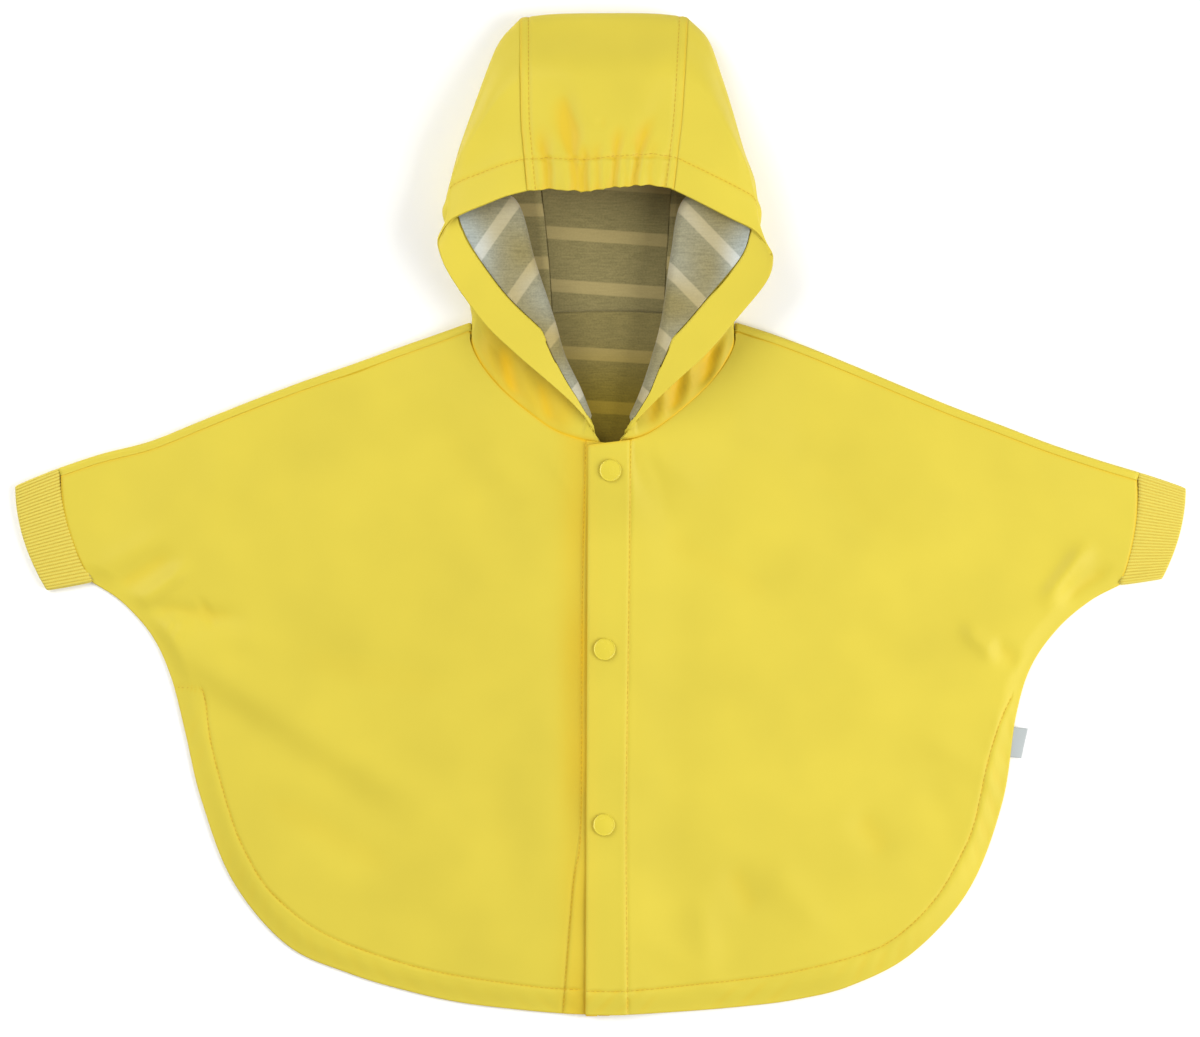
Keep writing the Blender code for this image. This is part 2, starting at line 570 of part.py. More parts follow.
def sheet(name, grid, flip, thickness, mat, cells=None, share=None):
    """A cloth piece: the grid's cells as one open surface, thickened inwards from its outer face."""
    rows, cols = grid.shape[:2]
    quads = grid_quads(rows, cols, flip)
    quads = quads[np.ones((rows - 1, cols - 1), bool) if cells is None else cells]
    used = np.unique(quads)
    new = np.zeros(rows * cols, int)
    new[used] = np.arange(len(used))
    obj = mesh_object(name, grid.reshape(-1, 3)[used], new[quads].tolist(), mat)
    wall = obj.modifiers.new("cloth", "SOLIDIFY")
    wall.thickness = thickness * MM
    wall.offset = -1.0
    wall.use_even_offset = False
    wall.use_rim = True
    if share is not None:
        group = obj.vertex_groups.new(name="layers")
        for i, value in enumerate(share.reshape(-1)[used]):
            group.add([i], float(value), "REPLACE")
        wall.vertex_group = "layers"
        wall.thickness = 2 * thickness * MM
    return obj


def oval(width, depth, count):
    """A flattened ring of points: their share of the width from its top end, and their height."""
    radius = SLEEVE_HEIGHT / 2
    straight = width - 2 * radius
    bend = math.pi * radius
    run = np.arange(count) / count * 2 * (straight + bend)
    stops = np.array([0, straight, straight + bend, 2 * straight + bend, 2 * (straight + bend)])
    angle = np.radians(np.interp(run, stops, (90, 90, -90, -90, -270)))
    centre = np.interp(run, stops, (radius, width - radius, width - radius, radius, radius))
    reach = radius - depth
    return (centre + reach * np.cos(angle)) / width, radius + reach * np.sin(angle)


def cuff(name, table, side, mat):
    """A flattened rib-knit tube: ribs raised on its outer points round a plain inside."""
    seam_top, seam_low, edge_top, edge_low, bow = (np.array(v, float) for v in table)
    count = 2 * RIBS_AROUND
    ribs = np.where(np.arange(count) % 2 == 0, 0.0, RIB_DEPTH)
    inside = KNIT + RIB_DEPTH / 2
    width = np.linalg.norm(seam_top - seam_low)
    rings = []
    for top, low, depth in (
        (seam_top, seam_low, ribs),
        (edge_top, edge_low, ribs),
        (edge_top, edge_low, inside),
        (seam_top, seam_low, inside),
    ):
        across, z = oval(width, depth, count)
        plan = top + (low - top) * across[:, None]
        plan[:, 0] += side * bow * 4 * across * (1 - across)
        rings.append(np.column_stack([plan, z]))
    ring = np.arange(count)
    faces = []
    for k in range(4):
        a, b = ring + count * k, ring + count * ((k + 1) % 4)
        quads = np.stack([a, b, np.roll(b, -1), np.roll(a, -1)], axis=1)
        faces += (quads if side < 0 else quads[:, ::-1]).tolist()
    return mesh_object(name, np.concatenate(rings), faces, mat)


def snap_cap(name, x, y, mat):
    """A domed cap with a rim, made on the band's own surface."""
    count = 16
    angle = np.arange(count) * 2 * math.pi / count
    points, faces = [], []
    for reach, lift in SNAP_PROFILE:
        px, py = x + SNAP_RADIUS * reach * np.cos(angle), y + SNAP_RADIUS * reach * np.sin(angle)
        points.append(np.column_stack([px, py, front_top(px, py) + lift]))
    centre = front_top(np.array([x]), np.array([y]))[0]
    points.append([[x, y, centre + SNAP_PROFILE[0][1]], [x, y, centre + SNAP_HEIGHT]])
    ring = np.arange(count)
    last = count * (len(SNAP_PROFILE) - 1)
    for start in range(0, last, count):
        a, b = ring + start, ring + start + count
        faces += np.stack([a, np.roll(a, -1), np.roll(b, -1), b], axis=1).tolist()
    low, high = np.full(count, last + count), np.full(count, last + count + 1)
    faces += np.stack([low, np.roll(ring, -1), ring], axis=1).tolist()
    faces += np.stack([high, ring + last, np.roll(ring, -1) + last], axis=1).tolist()
    return mesh_object(name, np.concatenate(points), faces, mat)


def side_label(mat):
    """A small folded tab that stands out of the side seam."""
    side = catmull(wing_line(1)[1], np.linspace(3.5, 5.2, 60))
    order = np.argsort(side[:, 1])
    y = np.linspace(*LABEL_Y, 5)
    inner = np.interp(y, side[order, 1], side[order, 0]) + 0.8
    width = np.interp(y, LABEL_Y[::-1], LABEL_WIDTH[::-1])
    across = np.linspace(0, 1, 4)
    x = inner[:, None] + width[:, None] * across
    grid = np.dstack([x, np.repeat(y[:, None], 4, axis=1), np.full(x.shape, 1.5)])
    return sheet("side_label", grid, False, 1.0, mat)


def main():
    for obj in list(bpy.data.objects):
        bpy.data.objects.remove(obj)
    collection = bpy.data.collections.new("rain_cape")
    bpy.context.scene.collection.children.link(collection)
    coated = material("coated_yellow", YELLOW, 0.45)
    knit = material("rib_knit_yellow", PALE_YELLOW, 0.9)
    jersey = material("heather_jersey", HEATHER, 0.95)
    gloss = material("snap_yellow", YELLOW, 0.25)
    tape = material("label_grey", GREY, 0.8)

    grid, cells = back_grid()
    sheet("back", grid, True, CLOTH, coated, cells)
    for side, name in ((-1, "front_left"), (1, "front_right")):
        grid, share = front_grid(side)
        sheet(name, grid, side < 0, CLOTH, coated, share=share)

    left, right = hood_side_grid(-1), hood_side_grid(1)
    centre = hood_centre_grid(left, right)
    seams = [(1, 0), (0, 0)]
    left, right = pulled_in(left, HALF_GAP, seams), pulled_in(right, HALF_GAP, seams)
    sheet("hood_side_left", left, False, CLOTH, coated)
    sheet("hood_side_right", right, True, CLOTH, coated)
    sheet("hood_centre", centre, False, CLOTH, coated)
    facing_at = left.shape[1] - 1 - FACING_CELLS
    left, right = left[:-1], right[:-1]
    for grid, side, name in ((left, -1, "lining_hood_left"), (right, 1, "lining_hood_right")):
        under = layer_below(grid, side > 0, UNDER_CLOTH)[LINING_ROW:, : facing_at + 1]
        under = pulled_in(pulled_in(under, HALF_GAP, [(1, 0), (0, -1)]), 1.1, [(1, -1)])
        sheet(name, under, side > 0, LINING, jersey)
    strips = [layer_below(left, False, UNDER_CLOTH)[::-1, facing_at:]]
    strips.append(layer_below(centre, False, UNDER_CLOTH)[-1 - FACING_CELLS :, 1:-1].transpose(1, 0, 2))
    strips.append(layer_below(right, True, UNDER_CLOTH)[:, facing_at:])
    facing = pulled_in(pulled_in(np.concatenate(strips), 1.4, [(1, 0)]), GAP, [(1, -1)])
    sheet("hood_facing", facing, True, CLOTH, coated)
    sheet("lining_hood_centre", lining_centre_grid(centre), False, LINING, jersey)
    sheet("lining_back_neck", back_neck_lining_grid(), False, LINING, jersey)
    cuff("cuff_left", LEFT_CUFF, -1, knit)
    cuff("cuff_right", RIGHT_CUFF, 1, knit)
    for name, x, y in SNAPS:
        snap_cap(name, x, y, gloss)
    side_label(tape)


main()
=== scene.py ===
import math

import bpy
import numpy as np
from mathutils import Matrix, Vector


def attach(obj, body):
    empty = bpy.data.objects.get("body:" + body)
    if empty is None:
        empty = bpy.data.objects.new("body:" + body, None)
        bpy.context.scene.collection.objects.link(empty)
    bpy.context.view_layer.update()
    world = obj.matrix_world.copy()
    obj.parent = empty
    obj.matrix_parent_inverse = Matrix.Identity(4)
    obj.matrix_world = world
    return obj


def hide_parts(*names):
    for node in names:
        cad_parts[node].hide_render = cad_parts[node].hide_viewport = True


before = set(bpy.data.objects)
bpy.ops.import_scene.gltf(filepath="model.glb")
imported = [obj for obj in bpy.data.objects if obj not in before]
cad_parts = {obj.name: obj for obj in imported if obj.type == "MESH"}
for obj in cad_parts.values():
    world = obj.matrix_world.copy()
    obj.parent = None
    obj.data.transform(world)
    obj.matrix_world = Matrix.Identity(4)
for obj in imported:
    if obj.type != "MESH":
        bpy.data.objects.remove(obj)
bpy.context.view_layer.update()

bl_info = {
    "name": "Child's Rain Cape",
    "version": (1, 0, 0),
    "blender": (4, 5, 0),
    "location": "3D View > Sidebar > Rain Cape",
    "description": "Builds a small child's hooded rain cape laid flat: coated cloth, jersey lining and rib cuffs",
    "category": "Add Mesh",
}

MM = 0.001

# All sizes and tables below are in millimetres, in the frame of the solids: x to the right, y towards the hood,
# z up from the table. Tables of both sides are kept by side, as the viewer sees them.
LEFT, RIGHT = -1, 1
CLOTH = 1.0  # one layer of cloth, from the face of a piece to the face of the next
UNDER_CLOTH = 1.42  # from the shell's outer face to the lining's face
GAP = 0.04  # between two pieces at their seam
HALF_GAP = GAP / 2
EDGE_Z, CHEST_Z = 1.3, 3.6  # underside of a front at its edges and away from them
LOWEST_UNDER = EDGE_Z - 0.25  # in its deepest folds a front still lies on the back
EDGE_REACH = 12.0  # from a front's edge to where it has risen to the chest
SEAM_DROP = 5.0  # the overarm seam lies this far down the front
NECK_REACH = 60.0  # the neck seam lifts the fronts this far round it
BAND_LIFT = 2.4  # the lower band lifts the overlapping front
PUCKER = {LEFT: 0.10, RIGHT: 0.22}  # height of the hem's puckers
PUCKER_LENGTH = 15.0
STITCH_PITCH = 3.0
FACING_WIDTH = 21.0
CASING_WIDTH = 19.0  # from the hood's rim to the stitch line of the elastic's casing
TOPSTITCH = 5.2  # from a hood seam to the stitch line beside it
ALLOWANCE = 1.8  # what shows of the cloth turned in at a seam, in the valley between two pieces
SLEEVE_HEIGHT = CHEST_Z + CLOTH

# The neck seam: its curve's middle, size and power, its sag on each side (depth, middle and half width), and its
# heights at two places in y
NECK_X, NECK_Y = 1.4, 106.2
NECK_HALF_WIDTH, NECK_DEPTH, NECK_POWER = 79.4, 63.0, 1.5
NECK_SAG = {LEFT: (1.5, -28.0, 12.0), RIGHT: (2.6, 28.0, 16.0)}
NECK_SLOPE_Y, NECK_SLOPE_Z = (43.0, 112.0), (11.5, 7.6)
BACK_NECK_Y, BACK_NECK_DIP = 122.4, 6.0
HOOD_ENDS = {LEFT: -0.3, RIGHT: 11.7}  # x of the hood's front corners

# A front's stations are numbered along its tables: the wing's rows from the cuff, then the hem's. These are the
# station where the cloth begins, half a gap from the cuff, and those at the shoulder, the band's stitch line and
# the band's edge, and the width of cloth in one number beside the band and on it.
CUFF_STATION, SHOULDER, BAND, BAND_EDGE = 0.004, 9, 12, 12.994
BESIDE_WIDTH, BAND_WIDTH = 32.0, 25.0

# One row for each section of a wing: a point on the overarm fold, and its partner on the underarm, side or hem.
# Columns: fold_x, fold_y, edge_x, edge_y
WING = {
    LEFT: (
        (-325.0, 28.4, -305.0, -39.9),
        (-300.0, 36.7, -287.0, -51.8),
        (-270.0, 44.5, -269.0, -72.0),
        (-240.0, 56.5, -257.5, -97.0),
        (-210.0, 68.5, -249.0, -130.0),
        (-180.0, 79.8, -239.5, -170.0),
        (-150.0, 90.2, -220.6, -219.0),
        (-120.0, 101.0, -188.2, -257.4),
        (-97.0, 109.0, -150.0, -274.8),
        (-79.2, 115.4, -114.0, -285.5),
    ),
    RIGHT: (
        (323.0, 25.9, 311.5, -41.6),
        (300.0, 32.8, 293.0, -51.6),
        (270.0, 42.8, 274.0, -68.0),
        (240.0, 54.2, 258.0, -91.0),
        (210.0, 65.6, 249.0, -121.0),
        (180.0, 78.0, 241.0, -172.0),
        (150.0, 90.6, 221.0, -224.2),
        (123.0, 101.5, 187.0, -262.4),
        (101.0, 109.5, 150.0, -282.0),
        (82.4, 115.4, 117.0, -290.3),
    ),
}
# The hem from below the shoulder to the front edge: the last rows are the band's stitch line and its edge.
# Columns: x, y
HEM = {
    LEFT: ((-84.0, -292.0), (-52.0, -296.0), (-22.5, -298.6), (6.0, -299.4)),
    RIGHT: ((86.0, -294.3), (52.0, -297.2), (16.2, -299.2), (-9.0, -299.4)),
}
HEM_MIDDLE = (-1.5, -299.4)
# The band's upper end, at its stitch line and at its edge. Columns: x, y
BAND_TOP = {
    LEFT: ((-8.7, 45.0), (15.0, 41.9)),
    RIGHT: ((18.0, 45.3), (-7.5, 42.2)),
}

# Soft folds along lines: a ridge where height is above 0, or else a trough. The first rows are the main folds,
# the others are finer ones. Columns: x1, y1, x2, y2, half_width, height
MAIN_FOLDS = 6
FOLDS = {
    LEFT: (
        (-190.0, -84.0, -84.0, -106.0, 17.0, -1.3),
        (-96.0, 60.0, -60.0, -20.0, 16.0, -1.1),
        (-150.0, 30.0, -110.0, -50.0, 18.0, 1.0),
        (-66.0, -150.0, -50.0, -240.0, 16.0, -1.0),
        (-290.0, -44.0, -258.0, -25.0, 7.5, -2.1),
        (-296.0, -30.0, -262.0, -12.0, 7.0, 1.1),
        (-270.0, -56.0, -219.0, -61.5, 6.0, -1.9),
        (-240.0, -74.0, -200.0, -76.0, 8.0, 1.0),
        (-262.0, -76.0, -250.0, -62.0, 7.0, 1.30),
        (-252.0, -78.0, -116.0, -166.0, 12.0, 3.3),
        (-246.0, -102.0, -132.0, -182.0, 10.0, -0.9),
        (-205.0, -168.0, -120.0, -215.0, 14.0, -1.45),
        (-238.0, 20.0, -196.0, 12.0, 14.0, 1.30),
        (-275.0, -52.0, -249.0, -32.0, 5.5, 2.4),
        (-262.0, -78.0, -253.0, -64.0, 2.2, -0.72),
        (-240.0, -50.0, -232.0, -66.0, 3.0, -0.9),
        (-30.0, 38.0, -12.0, 12.0, 1.2, -0.51),
        (-32.0, 40.0, -16.0, 14.0, 4.0, 0.51),
        (-66.0, 34.0, -40.0, 8.0, 12.0, 1.16),
        (-24.0, -40.0, -20.0, -200.0, 10.0, -1.01),
        (-120.0, -20.0, -60.0, -60.0, 26.0, 0.87),
        (-150.0, -246.0, -100.0, -262.0, 12.0, 0.72),
    ),
    RIGHT: (
        (32.0, -9.0, 104.0, -50.0, 15.0, -1.4),
        (44.0, 20.0, 128.0, -22.0, 15.0, 1.2),
        (120.0, 40.0, 180.0, -20.0, 17.0, -1.1),
        (150.0, -60.0, 200.0, -120.0, 17.0, -1.0),
        (60.0, -150.0, 130.0, -190.0, 18.0, 1.0),
        (279.0, -50.0, 303.0, -33.0, 6.5, -2.2),
        (290.0, -20.0, 268.0, -50.0, 6.0, 3.2),
        (236.0, -78.0, 249.0, -88.0, 6.0, -1.8),
        (219.0, -68.0, 236.0, -84.0, 5.5, 2.2),
        (78.0, -212.0, 92.0, -238.0, 10.0, -1.74),
        (154.0, -180.0, 171.0, -203.0, 10.0, -1.74),
        (60.0, -230.0, 64.0, -270.0, 9.0, 1.59),
        (104.0, -210.0, 130.0, -245.0, 10.0, 1.59),
        (30.0, 38.0, 58.0, 18.0, 5.0, 0.72),
        (28.0, 40.0, 40.0, 8.0, 4.0, -0.58),
        (70.0, 60.0, 112.0, 44.0, 9.0, 0.87),
        (190.0, -128.0, 240.0, -160.0, 9.0, 1.01),
        (40.0, -120.0, 120.0, -150.0, 24.0, 0.87),
        (30.0, -258.0, 80.0, -286.0, 8.0, 0.87),
        (196.0, -160.0, 214.0, -196.0, 9.0, -0.72),
    ),
}

# One row for each section of the hood's side, from crown to neck. It leaves the centre panel's seam, lies on
# the table to the turn, comes back over itself to the roll and ends at the rim. fold is 1 where the rim is
# turned right out, and neck is 1 where the section follows the neck seam.
# Columns: seam, turn, roll, rim, fold, neck
HOOD = {
    LEFT: (
        ((-44.0, 288.0, 1.5), (-48.0, 297.0, 10.0), (-47.5, 243.0, 35.0), (-43.5, 192.5, 39.5), 0.0, 0.0),
        ((-43.5, 277.0, 0.0), (-60.4, 283.3, 9.5), (-60.0, 232.0, 34.5), (-57.0, 189.0, 39.0), 0.0, 0.0),
        ((-42.5, 262.0, 0.0), (-69.2, 263.0, 9.0), (-72.0, 218.0, 34.0), (-69.0, 184.3, 38.0), 0.0, 0.0),
        ((-41.0, 243.0, 0.0), (-77.6, 240.0, 9.0), (-83.0, 205.0, 33.0), (-80.0, 180.0, 37.0), 0.0, 0.0),
        ((-39.0, 224.0, 0.0), (-85.3, 217.0, 9.0), (-90.0, 193.0, 30.0), (-89.5, 175.0, 36.0), 0.1, 0.0),
        ((-37.0, 208.0, 0.0), (-90.0, 200.0, 8.5), (-85.0, 185.0, 25.0), (-96.5, 165.0, 34.0), 0.6, 0.0),
        ((-35.5, 198.0, 0.0), (-92.6, 189.0, 8.5), (-70.0, 188.0, 24.0), (-95.0, 154.0, 32.0), 1.0, 0.0),
        ((-34.5, 188.0, 0.0), (-94.4, 179.0, 8.5), (-51.5, 186.0, 24.0), (-87.5, 139.2, 30.0), 1.0, 0.0),
        ((-31.5, 161.0, 0.0), (-86.0, 156.0, 8.0), (-40.5, 150.0, 24.0), (-69.5, 114.5, 28.0), 1.0, 0.1),
        ((-29.5, 134.0, 0.0), (-80.0, 133.0, 7.0), (-29.5, 117.0, 23.0), (-51.0, 96.6, 27.0), 1.0, 0.3),
        ((-29.0, 126.5, 0.0), (-78.3, 126.0, 6.0), (-23.0, 95.0, 21.0), (-34.0, 82.0, 25.0), 1.0, 0.6),
        ((-28.9, 123.9, 0.0), (-77.4, 121.5, 5.0), (-14.0, 76.0, 17.5), (-19.5, 69.5, 20.5), 0.9, 0.85),
        ((-28.9, 122.9, 0.0), (-77.0, 118.6, 4.4), (-7.5, 60.0, 14.0), (-9.8, 58.8, 16.0), 0.6, 0.95),
    ),
    RIGHT: (
        ((47.0, 288.0, 1.5), (52.3, 297.4, 10.0), (49.0, 243.0, 35.0), (43.5, 193.0, 39.5), 0.0, 0.0),
        ((47.0, 277.0, 0.0), (64.8, 284.2, 9.5), (61.0, 232.0, 34.5), (55.0, 187.5, 39.0), 0.0, 0.0),
        ((46.5, 262.0, 0.0), (72.5, 263.0, 9.0), (72.5, 218.0, 34.0), (67.0, 181.5, 38.0), 0.0, 0.0),
        ((45.5, 243.0, 0.0), (79.0, 242.0, 9.0), (83.0, 205.0, 33.0), (79.0, 175.5, 37.0), 0.0, 0.0),
        ((44.0, 224.0, 0.0), (86.0, 218.0, 9.0), (91.0, 193.0, 30.0), (91.0, 169.5, 36.0), 0.1, 0.0),
        ((43.0, 208.0, 0.0), (92.0, 202.0, 8.5), (90.0, 184.0, 25.0), (99.5, 160.0, 34.0), 0.6, 0.0),
        ((42.5, 198.0, 0.0), (94.0, 190.0, 8.5), (73.0, 187.0, 24.0), (102.6, 152.0, 32.0), 1.0, 0.0),
        ((41.7, 188.0, 0.0), (96.4, 179.0, 8.5), (51.0, 187.0, 24.0), (98.5, 138.5, 30.0), 1.0, 0.0),
        ((40.0, 161.0, 0.0), (91.5, 156.0, 8.0), (43.5, 153.0, 24.0), (81.1, 117.0, 28.0), 1.0, 0.1),
        ((38.5, 134.0, 0.0), (84.0, 133.0, 7.0), (38.5, 118.0, 23.0), (63.3, 96.3, 27.0), 1.0, 0.3),
        ((38.1, 126.5, 0.0), (81.5, 126.0, 6.0), (33.0, 96.0, 21.0), (46.0, 80.5, 25.0), 1.0, 0.6),
        ((38.0, 123.9, 0.0), (80.5, 121.5, 5.0), (26.0, 74.5, 17.5), (32.1, 67.5, 20.5), 0.9, 0.85),
        ((38.0, 122.9, 0.0), (80.1, 118.6, 4.4), (19.5, 59.5, 14.0), (22.5, 57.5, 16.0), 0.6, 0.95),
    ),
}
SECTION_LINES = 10  # lines of the hood's grid to a section
LINING_SECTION = 3  # the lining is built from this section of the hood to its neck
CASING_SECTION = 6  # the casing's stitch line ends at this section
ROLL_ARC = 4.4
HOOD_CENTRE_WIDTH = 91.5
# The centre panel's first lines, from its seam over the stitch line beside it, and how many lie between these
CENTRE_BORDER = np.array([0, 0.3, 0.7, 1.2, 2.0, 3.0, 4.0, 4.5, 4.9, 5.2, 5.5, 5.9, 6.4, 7.2, 8.4])
CENTRE_LINES = 76
HOOD_FLOOR_LINES = 60  # lines of the centre panel on the table
# Cells of a hood section on the table, in each half of the turn, back over it, in each half of the roll, from
# there to the facing, and on the facing
FLOOR_CELLS, TURN_CELLS, MIDDLE_CELLS = 10, 8, 26
ROLL_CELLS, TOP_CELLS, FACING_CELLS = 7, 14, 17
# Distances of the facing's lines from its inner edge; the casing is stitched 2 mm from it
FACING_STEPS = np.array([
    0, 0.5, 1.0, 1.4, 1.7, 2.0, 2.3, 2.6, 3.0, 3.6, 5.0, 7.5, 10.5, 13.5, 16.5, 19.0, 20.3, FACING_WIDTH
])

# Gathers of the elastic, across the centre panel: how deep each is in the casing, its half width, how far it runs
# on above the casing, and how far it leans over by then. Columns: across, depth, half_width, run_on, lean
GATHERS = (
    (0.070, 0.5, 0.014, 4.0, 0.00),
    (0.140, 1.9, 0.022, 15.0, -0.03),
    (0.225, 0.3, 0.020, 4.0, 0.02),
    (0.325, 2.2, 0.023, 38.0, -0.06),
    (0.392, 1.9, 0.018, 6.0, -0.01),
    (0.476, 1.2, 0.021, 8.0, 0.02),
    (0.545, 0.6, 0.013, 3.0, 0.00),
    (0.592, 2.1, 0.017, 20.0, 0.05),
    (0.665, 0.7, 0.015, 5.0, 0.01),
    (0.735, 2.2, 0.016, 26.0, 0.09),
    (0.830, 0.9, 0.022, 12.0, 0.02),
    (0.930, 0.8, 0.014, 5.0, 0.00),
)
# The hood's rim across the centre panel, pulled up and down by the elastic. Columns: across, rise
RIM_WAVE = ((0.0, 0.0), (0.17, 1.0), (0.39, -1.0), (0.55, 1.3), (0.72, 2.4), (0.84, 3.2), (0.97, 1.2), (1.0, 0.0))

# Soft folds of the hood's centre panel above its casing, with the columns of FOLDS
CROWN_FOLDS = (
    (-30.0, 275.0, -6.0, 232.0, 13.0, 1.2),
    (36.0, 275.0, 18.0, 226.0, 12.0, 1.1),
    (1.0, 236.0, 1.5, 230.0, 4.0, -0.7),
    (-21.0, 250.0, -17.5, 222.0, 5.0, -1.1),
    (24.0, 240.0, 20.0, 218.0, 6.0, -0.8),
)
# Soft folds of the hood's shell below its turned-out edge, with the columns of FOLDS
NECK_FOLDS = {
    LEFT: (
        (-68.0, 104.0, -62.0, 78.0, 3.4, 1.30),
        (-58.0, 98.0, -52.0, 70.0, 4.0, -1.69),
        (-47.0, 88.0, -38.0, 62.0, 3.6, 1.17),
        (-36.0, 78.0, -30.0, 56.0, 3.2, -1.17),
        (-24.0, 66.0, -20.0, 52.0, 3.0, 0.91),
    ),
    RIGHT: (
        (78.0, 118.0, 72.0, 92.0, 2.6, 1.30),
        (66.0, 104.0, 63.0, 76.0, 3.6, -1.82),
        (55.0, 96.0, 52.0, 70.0, 2.2, 1.56),
        (47.0, 88.0, 44.0, 62.0, 3.4, -1.82),
        (38.0, 78.0, 37.0, 56.0, 2.0, 1.43),
        (32.0, 70.0, 30.0, 54.0, 2.4, -1.17),
    ),
}

# Stitch lines of the fronts in plan. The hem's begin at the slit in the side seam, on the left with the corners of
# a straight bar across it. Columns: x, y
BAR_CORNERS = {LEFT: 2, RIGHT: 0}
HEM_STITCH = {
    LEFT: (
        (-254.7, -102.9), (-246.5, -103.2), (-238.6, -104.1), (-236.5, -113.0), (-232.8, -138.9), (-221.3, -180.9),
        (-211.7, -203.7), (-198.3, -224.7), (-173.7, -245.7), (-143.1, -260.1), (-96.9, -273.6), (-39.6, -282.3),
        (-12.9, -284.0),
    ),
    RIGHT: (
        (246.3, -108.9), (239.7, -123.3), (231.9, -148.5), (224.4, -182.7), (216.9, -201.9), (201.3, -228.9),
        (178.5, -251.7), (155.7, -263.1), (109.5, -274.5), (61.8, -280.5), (17.1, -284.7), (-9.0, -284.7),
    ),
}
BAND_STITCH = {
    LEFT: ((-8.7, 45.0), (-10.9, -50.7), (-11.8, -184.5), (-16.5, -222.9), (-22.5, -298.6)),
    RIGHT: ((18.0, 45.3), (17.0, -50.7), (15.3, -184.5), (16.2, -299.2)),
}

# The lining's stripes, by the length of cloth across them from the middle of one: where the sides lie on the table,
# the y of that stripe, and on their turned-out part how the length goes with x and y. Columns: by_x, x0, by_y, y0
STRIPE_Y = 88.33333
STRIPE_SLANT = {
    LEFT: (0.82, -48.9, -0.57, 189.3),
    RIGHT: (-0.72, 45.9, -0.70, 186.3),
}
# The same for the pieces flat on the table: y of a stripe at x = 0, and its slope
CENTRE_STRIPE_Y, CENTRE_STRIPE_SLOPE = 167.6, -0.07
NECK_STRIPE_Y, NECK_STRIPE_SLOPE = 96.5, -0.06
LINING_WAVE = 0.25  # half the height of the lining's waves on the table
CENTRE_LINING_TOP = 262.0
# The neck's lining reaches to these x, and down to a parabola: its lowest y, its rise, and over what width
NECK_LINING_X = (-62.0, 65.0)
NECK_LINING_LOW, NECK_LINING_RISE, NECK_LINING_REACH = 14.0, 66.0, 64.0

# Cuffs: the seam to the sleeve and the open edge, each from its overarm end to its underarm end, and their bow.
# Columns: seam_top, seam_low, edge_top, edge_low, bow
CUFFS = {
    LEFT: ((-325.3, 28.3), (-305.3, -40.2), (-350.6, 17.9), (-331.6, -45.0), 4.8),
    RIGHT: ((323.3, 25.8), (311.8, -41.8), (350.6, 16.6), (336.3, -38.2), 3.6),
}
RIBS_AROUND, RIB_POINTS = 72, 10
RIB_DEPTH = 0.6
KNIT = 1.4
CUFF_LENGTH, CUFF_RINGS, LOOP_LENGTH = 26.0, 26, 1.2

# Columns: node, x, y, turn
SNAPS = (
    ("snap_cap_top", 5.9, 26.9, 0.0),
    ("snap_cap_middle", 2.4, -80.1, 0.9),
    ("snap_cap_low", 2.1, -185.1, 2.0),
)
SNAP_RADIUS = 6.6
SNAP_POINTS_AROUND = 64
# A cap's outline from its under side over its rim to its crown: shares of the radius, and heights over the band.
# Columns: reach, lift
SNAP_PROFILE = (
    (0.0, 0.3), (0.98, 0.3), (1.0, 0.5), (1.0, 1.0), (0.99, 1.3), (0.97, 1.5), (0.945, 1.56), (0.92, 1.52),
    (0.9, 1.42), (0.88, 1.36), (0.85, 1.38), (0.65, 1.56), (0.42, 1.72), (0.2, 1.82), (0.0, 1.84),
)
# The side label at its upper and lower edge: y, and how far it shows beyond the side. The back of its fold lies
# LABEL_FOLD below its front.
LABEL_Y = (-126.8, -144.6)
LABEL_WIDTH = (7.4, 5.6)
LABEL_TUCKED, LABEL_FOLD, LABEL_THICKNESS = 1.5, 0.65, 0.25

# The camera stands above the table and looks straight down. The photograph is 1200 by 1037 pixels of 0.6 mm.
PHOTO_WIDTH = 720.0
PHOTO_CENTRE = (-0.3, -1.8)
CAMERA_HEIGHT = 3000.0
SENSOR_WIDTH = 36.0
LIGHT_SIZE = 1.4  # width of the square lights, in metres
TABLE_REACH, TABLE_DROP = 4.0, 0.0003  # half the width of the table and its depth below the cape, in metres


def linear(hex_colour):
    """An sRGB hex value as linear red, green and blue: each channel c is c / 12.92 below 0.04045 and
    ((c + 0.055) / 1.055) to the power 2.4 above it."""
    channels = [int(hex_colour[i : i + 2], 16) / 255 for i in (1, 3, 5)]
    return tuple(c / 12.92 if c <= 0.04045 else ((c + 0.055) / 1.055) ** 2.4 for c in channels)


# ---- Curves and surfaces ----


def smooth(x):
    """A soft step: 3 t squared minus 2 t cubed, with t held between 0 and 1."""
    x = np.clip(x, 0, 1)
    return x * x * (3 - 2 * x)


def bell(x):
    """A soft hump of height 1 at 0: e to the minus x squared."""
    return np.exp(-(x**2))


def rounding(away, reach):
    """The drop of a rounded border: the square of 1 minus the distance over the reach, and 0 beyond the reach."""
    return (1 - np.clip(away / reach, 0, 1)) ** 2


def unit(v):
    """Vectors scaled to length 1."""
    v = np.asarray(v, float)
    return v / np.maximum(np.linalg.norm(v, axis=-1, keepdims=True), 1e-9)


